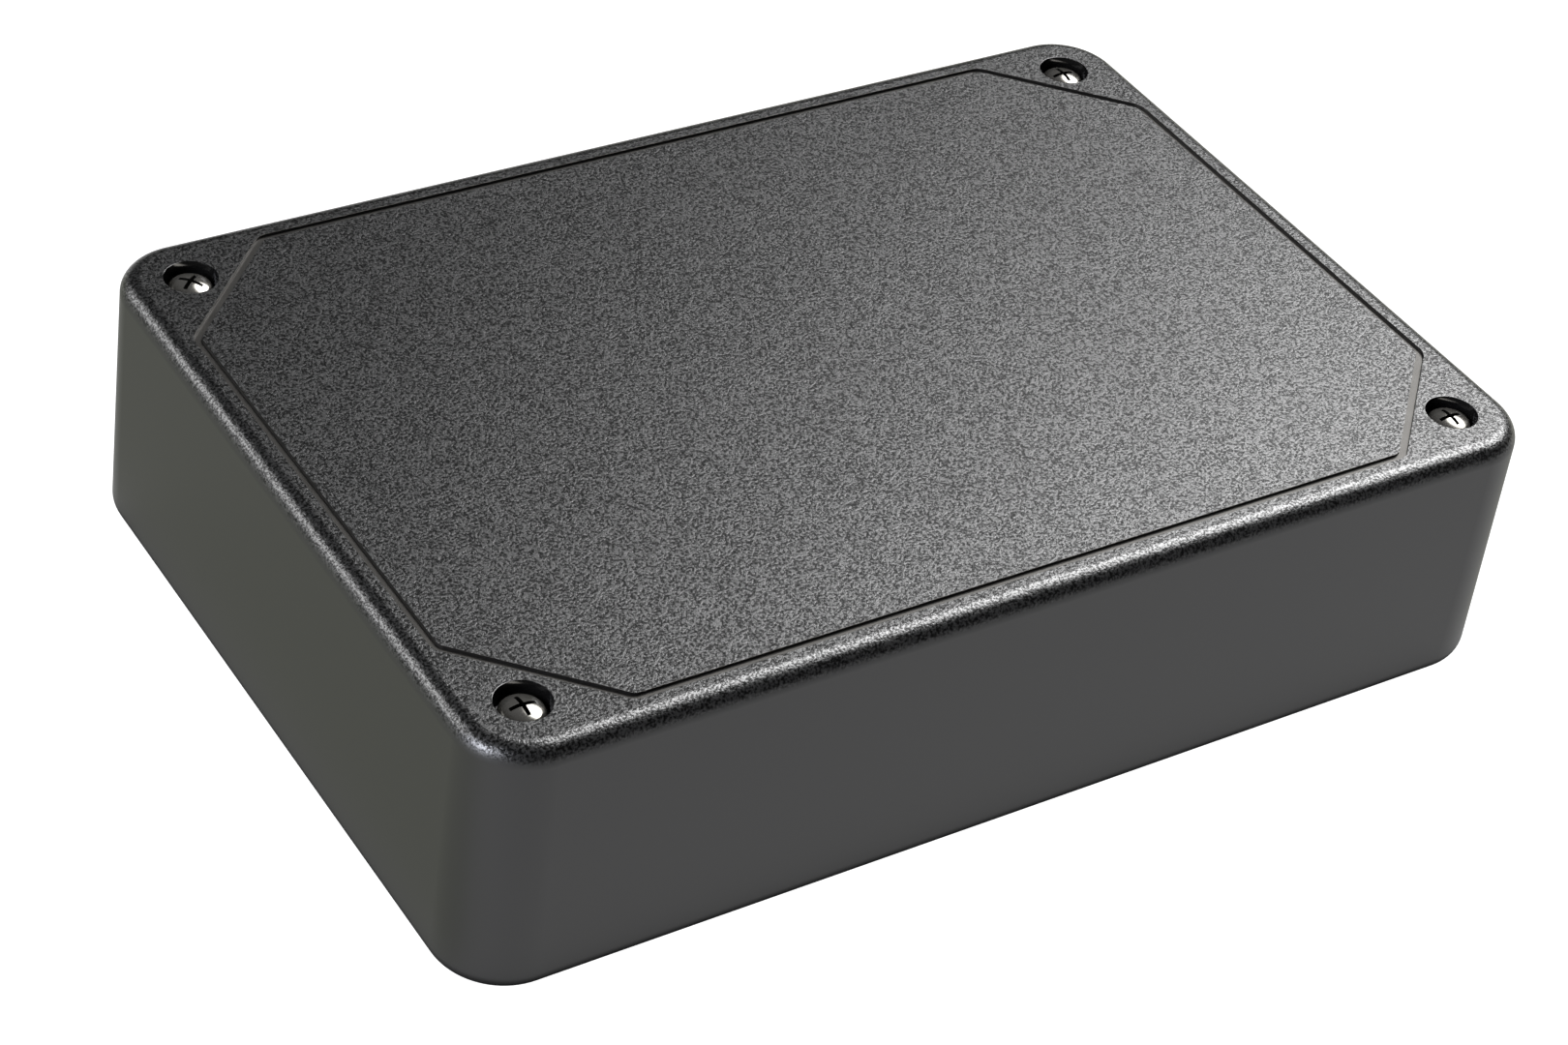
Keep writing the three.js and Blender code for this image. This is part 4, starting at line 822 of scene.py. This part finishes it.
JACK_RADIUS = 3.175
JACK_PITCH = 25.4 / 36
JACK_THREAD_DEPTH = 0.3
JACK_MOUTH_RADIUS = 2.3
JACK_MOUTH_DEPTH = 1.9
JACK_MOUTH_EASE = 0.2
JACK_BORE_RADIUS = 2.05
JACK_FLATS = 8.0
HEXAGON_THICKNESS = 2.0
HEXAGON_CHAMFER = 0.45
FERRULE_RADIUS = 2.6
FERRULE_NECK = 2.35
WASHER_THICKNESS = 0.6
WASHER_WIDTH = 1.4
WASHER_EASE = 0.15
NUT_THICKNESS = 2.2
NUT_BORE = JACK_RADIUS + 0.03
NUT_FLARE = 0.35
SLEEVE_RADIUS = 2.02
SLEEVE_BORE = 0.67
SLEEVE_EASE = 0.1
CONTACT_RADIUS = 0.64
CONTACT_BORE = 0.45
CONTACT_BORE_DEPTH = 3.0
SLIT_WIDTH = 0.14
SLIT_LENGTH = 2.0
SLIT_DEPTH = 1.2


def gold_plate():
    """Thin gold over turned brass: warm and bright, with rings left by the lathe about 0.2 mm apart."""
    ring_mm = 0.2
    material, tree, surface, where = new_material("gold_plate", {"Metallic": 1.0})
    rings = add_node(tree, "ShaderNodeTexWave", {"bands_direction": "Y", "wave_profile": "SIN"}, {
        "Scale": 1 / (ring_mm * MM) / 20 * math.pi, "Distortion": 1.5, "Detail": 2.0,
    }, {"Vector": where})
    clouds = add_node(tree, "ShaderNodeTexNoise", values={"Scale": 400.0, "Detail": 3.0}, links={
        "Vector": where,
    })
    colour = add_node(tree, "ShaderNodeMix", {"data_type": "RGBA"}, {
        "A": linear("#d9b25a"), "B": linear("#c89c46"),
    }, {"Factor": clouds.outputs["Fac"]})
    rough = add_node(tree, "ShaderNodeMapRange", values={"To Min": 0.2, "To Max": 0.34}, links={
        "Value": clouds.outputs["Fac"],
    })
    bump = add_node(tree, "ShaderNodeBump", values={"Strength": 1.0, "Distance": 0.002 * MM}, links={
        "Height": rings.outputs["Fac"],
    })
    tree.links.new(colour.outputs["Result"], surface.inputs["Base Color"])
    tree.links.new(rough.outputs["Result"], surface.inputs["Roughness"])
    tree.links.new(bump.outputs["Normal"], surface.inputs["Normal"])
    return material


def white_ptfe():
    """Sintered PTFE rod: waxy white with soft light inside it and a matt turned face."""
    return mottled(
        "white_ptfe", "#e6e4de", "#dedbd2", 0.4, (0.4, 0.55), detail=2.0,
        IOR=1.38, Subsurface_Weight=0.2, Subsurface_Scale=0.5 * MM,
    )


GOLD = gold_plate()
PTFE = white_ptfe()


def hexagon(name, low, high, centre):
    """Hexagonal bar along +Y whose corners are turned down at both ends."""
    middle = JACK_FLATS / 2
    corner = JACK_FLATS / math.sqrt(3)
    bar = plain_rod(name, corner, low, high, centre, 6, "Y")
    cone = turned("corner_turning", [
        (0, low), (middle, low), (corner, low + HEXAGON_CHAMFER), (corner, high - HEXAGON_CHAMFER),
        (middle, high), (0, high),
    ], centre, 48, "Y")
    carve(bar, "INTERSECT", [cone])
    return bar


def jack_body(name, centre, back_y, mouth_y):
    """Threaded shell with its hexagon and the ferrule behind it, bored from the mouth to the back."""
    hex_y = PAD_Y - HEXAGON_THICKNESS
    body = threaded(
        name, JACK_RADIUS, JACK_THREAD_DEPTH, JACK_PITCH, PAD_Y - 0.4, mouth_y, centre, 40, "Y",
    )
    ferrule = turned("ferrule", [
        (0, back_y), (FERRULE_RADIUS - 0.3, back_y), (FERRULE_RADIUS, back_y + 0.3),
        (FERRULE_RADIUS, hex_y - 1.2), (FERRULE_NECK, hex_y - 1.0), (FERRULE_NECK, hex_y + 0.5),
        (0, hex_y + 0.5),
    ], centre, 40, "Y")
    carve(body, "UNION", [hexagon("hexagon", hex_y, PAD_Y, centre), ferrule])
    floor_y = mouth_y - JACK_MOUTH_DEPTH
    rim = JACK_MOUTH_RADIUS + JACK_MOUTH_EASE
    mouth = turned("mouth", [
        (0, floor_y), (JACK_MOUTH_RADIUS, floor_y), (JACK_MOUTH_RADIUS, mouth_y - JACK_MOUTH_EASE),
        (rim, mouth_y), (rim, mouth_y + SPARE), (0, mouth_y + SPARE),
    ], centre, 40, "Y")
    bore = plain_rod("bore", JACK_BORE_RADIUS, back_y - SPARE, mouth_y, centre, axis="Y")
    carve(body, "DIFFERENCE", [mouth, bore])
    return body


def lock_washer(name, centre, low, high):
    """Flat ring between the wall and the nut, eased along its outer edges."""
    outer = NUT_BORE + WASHER_WIDTH
    washer = turned(name, [
        (NUT_BORE, low), (outer - WASHER_EASE, low), (outer, low + WASHER_EASE),
        (outer, high - WASHER_EASE), (outer - WASHER_EASE, high), (NUT_BORE, high), (NUT_BORE, low),
    ], centre, 48, "Y")
    carve(washer, "DIFFERENCE", [
        plain_rod("bore", NUT_BORE, low - SPARE, high + SPARE, centre, axis="Y"),
    ])
    return washer


def hex_nut(name, centre, low, high):
    """Hexagon nut with its hole flared at the outer face."""
    flared = NUT_BORE + NUT_FLARE
    nut = hexagon(name, low, high, centre)
    flare = turned("flare", [
        (0, high - 0.3), (NUT_BORE, high - 0.3), (flared, high + 0.05), (flared, high + SPARE),
        (0, high + SPARE),
    ], centre, 48, "Y")
    bore = plain_rod("bore", NUT_BORE, low - SPARE, high + SPARE, centre, axis="Y")
    carve(nut, "DIFFERENCE", [bore, flare])
    return nut


def insulating_sleeve(name, centre, low, high):
    """Turned sleeve with both edges of its outer face eased."""
    return turned(name, [
        (SLEEVE_BORE, low), (SLEEVE_RADIUS, low), (SLEEVE_RADIUS, high - SLEEVE_EASE),
        (SLEEVE_RADIUS - SLEEVE_EASE, high), (SLEEVE_BORE + SLEEVE_EASE, high),
        (SLEEVE_BORE, high - SLEEVE_EASE), (SLEEVE_BORE, low),
    ], centre, 40, "Y")


def centre_contact(name, centre, low, high):
    """Pin with a hollow tip that two crossing slits cut into four springs."""
    floor_y = high - CONTACT_BORE_DEPTH
    pin = turned(name, [
        (0, low), (CONTACT_RADIUS, low), (CONTACT_RADIUS, high - 0.12), (CONTACT_RADIUS - 0.08, high),
        (CONTACT_BORE, high), (CONTACT_BORE, floor_y), (0, floor_y),
    ], centre, 24, "Y")
    slits = []
    for wide, tall in ((SLIT_WIDTH, SLIT_LENGTH), (SLIT_LENGTH, SLIT_WIDTH)):
        slits.append(block("slit", [
            (centre[0] + x * wide / 2, y, centre[2] + z * tall / 2)
            for y in (high - SLIT_DEPTH, high + SPARE) for x, z in AROUND
        ]))
    carve(pin, "DIFFERENCE", slits)
    return pin


def make_antenna_jack(antenna):
    """The five pieces of one jack, each standing for its own node."""
    low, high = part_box(f"{antenna}_jack_body")
    centre = ((low[0] + high[0]) / 2 / MM, 0, PORT_Z)
    washer_y = LAND_Y + WASHER_THICKNESS
    sleeve_span = [corner[1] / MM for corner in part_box(f"{antenna}_jack_insulator")]
    pin_span = [corner[1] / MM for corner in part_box(f"{antenna}_jack_contact")]
    pieces = (
        (jack_body, "shell", (low[1] / MM, high[1] / MM), GOLD, "body", "gold_plate"),
        (lock_washer, "lock_ring", (LAND_Y, washer_y), GOLD, "washer", "gold_plate"),
        (hex_nut, "hex_nut", (washer_y, washer_y + NUT_THICKNESS), GOLD, "nut", "gold_plate"),
        (insulating_sleeve, "sleeve", sleeve_span, PTFE, "insulator", "jack_insulator"),
        (centre_contact, "centre_pin", pin_span, GOLD, "contact", "gold_plate"),
    )
    for make, word, span, finish, node, slot in pieces:
        piece = make(f"{antenna}_jack_{word}", centre, *span)
        finish_surface(piece, finish)
        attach(piece, "root")
        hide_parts(f"{antenna}_jack_{node}")


make_antenna_jack("outside")
make_antenna_jack("inside")

# ---------------------------------------------------------------- power jack
# A panel-mounted barrel jack: a black nylon body with a round flange outside the wall and a fine
# thread inside it, round a nickel-plated centre pin.

POWER_RADIUS = 4.0
POWER_PITCH = 0.75
FLANGE_RADIUS = 5.6
POWER_BORE = 2.9
POWER_BORE_DEPTH = 9.5
POWER_BORE_EASE = 0.35
POWER_PIN_RADIUS = 1.0


def black_nylon():
    """Glass-filled nylon: black and dull, with a faint flow mottle about 0.6 mm across."""
    return mottled("black_nylon", "#101010", "#191918", 0.6, (0.35, 0.5), 0.01, IOR=ABS_IOR)


NYLON = black_nylon()


def make_power_jack():
    """Body with its threaded barrel and bore, and the pin in it."""
    low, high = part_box("power_jack_body")
    x = (low[0] + high[0]) / 2 / MM
    back_y, face_y = low[1] / MM, high[1] / MM
    centre = (x, 0, PORT_Z)
    body = turned("power_jack_flange", [
        (0, LAND_Y), (FLANGE_RADIUS, LAND_Y), (FLANGE_RADIUS, face_y - 0.6),
        (FLANGE_RADIUS - 0.18, face_y - 0.18), (FLANGE_RADIUS - 0.6, face_y), (0, face_y),
    ], centre, 64, "Y")
    barrel = threaded(
        "barrel", POWER_RADIUS, JACK_THREAD_DEPTH, POWER_PITCH, back_y, LAND_Y + 0.5, centre, 40, "Y",
    )
    carve(body, "UNION", [barrel])
    bore_y = face_y - POWER_BORE_DEPTH
    bore = turned("bore", [
        (0, bore_y), (POWER_BORE, bore_y), (POWER_BORE, face_y - POWER_BORE_EASE),
        (POWER_BORE + POWER_BORE_EASE, face_y), (POWER_BORE + POWER_BORE_EASE, face_y + SPARE),
        (0, face_y + SPARE),
    ], centre, 48, "Y")
    carve(body, "DIFFERENCE", [bore])
    finish_surface(body, NYLON)
    pin_low, pin_high = (y[1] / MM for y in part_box("power_jack_pin"))
    pin = turned("power_jack_centre_pin", [
        (0, pin_low), (POWER_PIN_RADIUS, pin_low), (POWER_PIN_RADIUS, pin_high - 0.5),
        (0.92, pin_high - 0.22), (0.7, pin_high - 0.05), (0, pin_high),
    ], centre, 32, "Y")
    finish_surface(pin, NICKEL)
    for piece, node, slot in (
        (body, "power_jack_body", "jack_plastic"), (pin, "power_jack_pin", "nickel_plate"),
    ):
        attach(piece, "root")
        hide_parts(node)


make_power_jack()

# ---------------------------------------------------------------- status light pipes
# Two stepped rods moulded in clear acrylic, pressed through the wall from outside. Each ends in a
# low dome over its lamp.

PIPE_RADIUS = 1.5
PIPE_HEAD_RADIUS = 2.2
PIPE_DOME = 0.45
PIPE_DOME_STEPS = 7


def clear_acrylic():
    """Moulded clear acrylic: glassy, with the slightest ripple in its polish."""
    material, tree, surface, where = new_material("clear_acrylic", {
        "IOR": 1.49, "Transmission Weight": 0.9, "Base Color": linear("#e9f0ee"),
    })
    ripple = add_node(tree, "ShaderNodeTexNoise", values={"Scale": 900.0, "Detail": 1.0}, links={
        "Vector": where,
    })
    rough = add_node(tree, "ShaderNodeMapRange", values={"To Min": 0.03, "To Max": 0.12}, links={
        "Value": ripple.outputs["Fac"],
    })
    tree.links.new(rough.outputs["Result"], surface.inputs["Roughness"])
    return material


ACRYLIC = clear_acrylic()


def make_light_pipe(number):
    """One rod with its stepped head and domed face."""
    low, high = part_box(f"light_pipe_{number}")
    centre = ((low[0] + high[0]) / 2 / MM, 0, (low[2] + high[2]) / 2 / MM)
    back_y, face_y = low[1] / MM, high[1] / MM
    dome_y = face_y - PIPE_DOME
    profile = [
        (0, back_y), (PIPE_RADIUS, back_y), (PIPE_RADIUS, LAND_Y), (PIPE_HEAD_RADIUS, LAND_Y),
        (PIPE_HEAD_RADIUS, dome_y),
    ]
    for step in range(PIPE_DOME_STEPS):
        angle = math.pi / 2 * step / PIPE_DOME_STEPS
        profile.append((PIPE_HEAD_RADIUS * math.cos(angle), dome_y + PIPE_DOME * math.sin(angle)))
    profile.append((0, face_y))
    pipe = turned(f"light_pipe_rod_{number}", profile, centre, 40, "Y")
    finish_surface(pipe, ACRYLIC)
    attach(pipe, "root")
    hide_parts(f"light_pipe_{number}")


make_light_pipe(1)
make_light_pipe(2)

# ---------------------------------------------------------------- pieces inside the case
# The board, its parts and its wiring keep their own shapes. Each gets the finish of the real thing.


def inside(name, dark, light, grain_mm, roughness, relief_mm, **values):
    """A mottled finish whose gloss runs a fifth either side of its mean."""
    return mottled(name, dark, light, grain_mm, (roughness * 0.8, roughness * 1.2), relief_mm, **values)


INSIDE_FINISHES = [
    (inside("plain_brass", "#a88546", "#bd9a58", 0.5, 0.32, 0.004, Metallic=1.0), ["threaded_insert"]),
    (inside("zinc_plated_steel", "#9aa0a4", "#b4b9bb", 0.6, 0.3, 0.003, Metallic=1.0), ["board_screw"]),
    (inside("green_solder_mask", "#0f4423", "#17562d", 1.2, 0.32, 0.01, IOR=1.55), ["circuit_board"]),
    (inside("tinned_sheet", "#a9aba8", "#bcbdb9", 1.5, 0.34, 0.004, Metallic=1.0), ["shield"]),
    (
        inside("moulded_epoxy", "#141415", "#1c1c1d", 0.3, 0.55, 0.012, IOR=1.55),
        ["amplifier", "controller"],
    ),
    (inside("fired_ceramic", "#bfb8a2", "#cdc7b4", 0.4, 0.5, 0.012, IOR=1.6), ["duplexer"]),
    (inside("pressed_iron_powder", "#34363a", "#45474b", 0.35, 0.7, 0.03, IOR=1.5), ["inductor"]),
    (inside("drawn_aluminium", "#b9bbbc", "#c9cbcc", 2.0, 0.3, 0.003, Metallic=1.0), ["capacitor"]),
    (inside("brown_fluoropolymer", "#6b4a2c", "#7c5836", 1.0, 0.35, 0.01, IOR=1.38), ["lead"]),
    (inside("red_pvc", "#9c1b18", "#ad2420", 0.8, 0.4, 0.01, IOR=1.53), ["wire_positive"]),
    (inside("black_pvc", "#141414", "#1d1d1d", 0.8, 0.4, 0.01, IOR=1.53), ["wire_negative"]),
    (
        inside("natural_nylon", "#d8d2bf", "#e3decd", 0.7, 0.42, 0.01, IOR=1.53),
        ["power_header", "power_plug"],
    ),
    (inside("green_lamp_epoxy", "#3f8f3a", "#4ea348", 0.8, 0.15, 0.0, IOR=1.55), ["status_lamp"]),
    (NYLON, ["lamp_holder"]),
    (NICKEL, ["power_jack_nut", "power_jack_lug"]),
    (GOLD, ["lead_plug", "board_socket"]),
]

for finish, words in INSIDE_FINISHES:
    for node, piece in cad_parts.items():
        if any(word in node for word in words):
            for place in piece.material_slots:
                place.material = finish

# ---------------------------------------------------------------- floor and light
# A bright white paper floor lights the walls from below, with a painted contact shadow in its glow
# under the case and round its foot. A large soft box stands behind the right end, a smaller one
# behind the left end and a third, slightly cool, off the left end. The air in front of the case is
# dark, so its rounded front edge shows a black band.

FLOOR_HALF = 6.0
# Where the painted contact shadow round the case's foot starts and ends, in millimetres outside its outline.
PAINTED_SHADOW_FROM = 0.5
PAINTED_SHADOW_TO = 2.5
FRONT_GLOW = 1.02
LEFT_GLOW = (0.485, 0.50, 0.39, 1.0)
RIGHT_GLOW = (0.86, 0.86, 0.76, 1.0)
GLOW_FROM = 82.0
GLOW_TO = 88.0
BEHIND_FROM = -62
BEHIND_TO = -48
PAPER_SEEN = (1.2, 1.2, 1.2, 1.0)


def make_floor():
    """A flat white floor: it glows by itself, and a painted contact shadow darkens its glow under the case
    and in a band round its foot.
    """
    points = [(x * FLOOR_HALF / MM, y * FLOOR_HALF / MM, 0) for x, y in AROUND]
    floor = build("floor", points, [(0, 1, 2, 3)])
    material, tree, surface, where = new_material("white_paper", {
        "Base Color": linear("#404040"), "Roughness": 0.9, "Specular IOR Level": 0.0,
    })
    place = add_node(tree, "ShaderNodeSeparateXYZ", links={"Vector": where})
    behind_corner = add_node(tree, "ShaderNodeMapRange", {"interpolation_type": "SMOOTHSTEP"}, {
        "From Min": BEHIND_FROM * MM, "From Max": BEHIND_TO * MM,
    }, {"Value": place.outputs["Y"]}).outputs["Result"]
    glow = None
    for from_x, to_x, colour in ((-GLOW_FROM, -GLOW_TO, LEFT_GLOW), (GLOW_FROM, GLOW_TO, RIGHT_GLOW)):
        share = add_node(tree, "ShaderNodeMapRange", {"interpolation_type": "SMOOTHSTEP"}, {
            "From Min": from_x * MM, "From Max": to_x * MM,
        }, {"Value": place.outputs["X"]}).outputs["Result"]
        beside = add_node(tree, "ShaderNodeMath", {"operation": "MULTIPLY"}, links={
            0: share, 1: behind_corner,
        })
        mixed = add_node(tree, "ShaderNodeMix", {"data_type": "RGBA"}, {
            "A": (FRONT_GLOW,) * 3 + (1,), "B": colour,
        }, {"Factor": beside.outputs["Value"]})
        if glow:
            tree.links.new(glow, mixed.inputs["A"])
        glow = mixed.outputs["Result"]
    # Painted contact shadow: the glow falls to nothing under the case and fades back in a band round its
    # foot.
    core = ((CASE_LENGTH / 2 - CORNER_RADIUS) * MM, (CASE_WIDTH / 2 - CORNER_RADIUS) * MM, 0)
    quarter = add_node(tree, "ShaderNodeVectorMath", {"operation": "ABSOLUTE"}, links={0: where})
    past_core = add_node(tree, "ShaderNodeVectorMath", {"operation": "SUBTRACT"}, {1: core}, {
        0: quarter.outputs["Vector"],
    })
    reach = add_node(tree, "ShaderNodeVectorMath", {"operation": "MAXIMUM"}, {1: (0, 0, 0)}, {
        0: past_core.outputs["Vector"],
    })
    reach = add_node(tree, "ShaderNodeVectorMath", {"operation": "LENGTH"}, links={
        0: reach.outputs["Vector"],
    })
    outside_painted_shadow = add_node(tree, "ShaderNodeMapRange", {"interpolation_type": "SMOOTHSTEP"}, {
        "From Min": (CORNER_RADIUS + PAINTED_SHADOW_FROM) * MM, "From Max": (CORNER_RADIUS + PAINTED_SHADOW_TO) * MM,
    }, {"Value": reach.outputs["Value"]})
    lit = add_node(tree, "ShaderNodeVectorMath", {"operation": "SCALE"}, links={
        0: glow, "Scale": outside_painted_shadow.outputs["Result"],
    })
    seen = add_node(tree, "ShaderNodeLightPath").outputs["Is Camera Ray"]
    shown = add_node(tree, "ShaderNodeMix", {"data_type": "RGBA"}, {"B": PAPER_SEEN}, {
        "Factor": seen, "A": lit.outputs["Vector"],
    })
    tree.links.new(shown.outputs["Result"], surface.inputs["Emission Color"])
    surface.inputs["Emission Strength"].default_value = 1.0
    floor.data.materials.append(material)


# Each panel: turn from +X towards +Y and rise, its half width and soft edge in degrees, its strength
# and its colour.
PANELS = [
    (21, 47, 17, 6, 17.5, "#ffffff"),
    (134, 25, 12, 5, 9.0, "#ffffff"),
    (186, 27, 16, 5, 19.0, "#f2f5ff"),
]
AIR = 0.05
BACKDROP = 1.0


def make_studio():
    """The soft boxes as soft round areas of the sky; seen straight, the sky is a white backdrop."""
    world = bpy.data.worlds.new("studio")
    bpy.context.scene.world = world
    world.use_nodes = True
    tree = world.node_tree
    tree.nodes.clear()
    where = add_node(tree, "ShaderNodeTexCoord").outputs["Generated"]
    total = add_node(tree, "ShaderNodeRGB")
    total.outputs[0].default_value = (AIR, AIR, AIR, 1)
    light = total.outputs[0]
    for turn, rise, half, soft, strength, colour in PANELS:
        turn, rise = math.radians(turn), math.radians(rise)
        towards = (math.cos(rise) * math.cos(turn), math.cos(rise) * math.sin(turn), math.sin(rise))
        nearness = add_node(tree, "ShaderNodeVectorMath", {"operation": "DOT_PRODUCT"}, {1: towards}, {
            0: where,
        })
        glow = add_node(tree, "ShaderNodeMapRange", {"interpolation_type": "SMOOTHSTEP"}, {
            "From Min": math.cos(math.radians(half + soft)),
            "From Max": math.cos(math.radians(half - soft)),
            "To Max": strength,
        }, {"Value": nearness.outputs["Value"]})
        tint = add_node(tree, "ShaderNodeVectorMath", {"operation": "SCALE"}, {0: linear(colour)[:3]}, {
            "Scale": glow.outputs["Result"],
        })
        light = add_node(tree, "ShaderNodeVectorMath", {"operation": "ADD"}, links={
            0: light, 1: tint.outputs["Vector"],
        }).outputs["Vector"]
    studio = add_node(tree, "ShaderNodeBackground", values={"Strength": 1.0}, links={"Color": light})
    backdrop = add_node(tree, "ShaderNodeBackground", values={"Color": (BACKDROP,) * 3 + (1,)})
    seen = add_node(tree, "ShaderNodeLightPath").outputs["Is Camera Ray"]
    mixed = add_node(tree, "ShaderNodeMixShader", links={
        0: seen, 1: studio.outputs["Background"], 2: backdrop.outputs["Background"],
    })
    add_node(tree, "ShaderNodeOutputWorld", links={"Surface": mixed.outputs["Shader"]})


make_floor()
make_studio()
bpy.context.scene.view_settings.view_transform = "Standard"
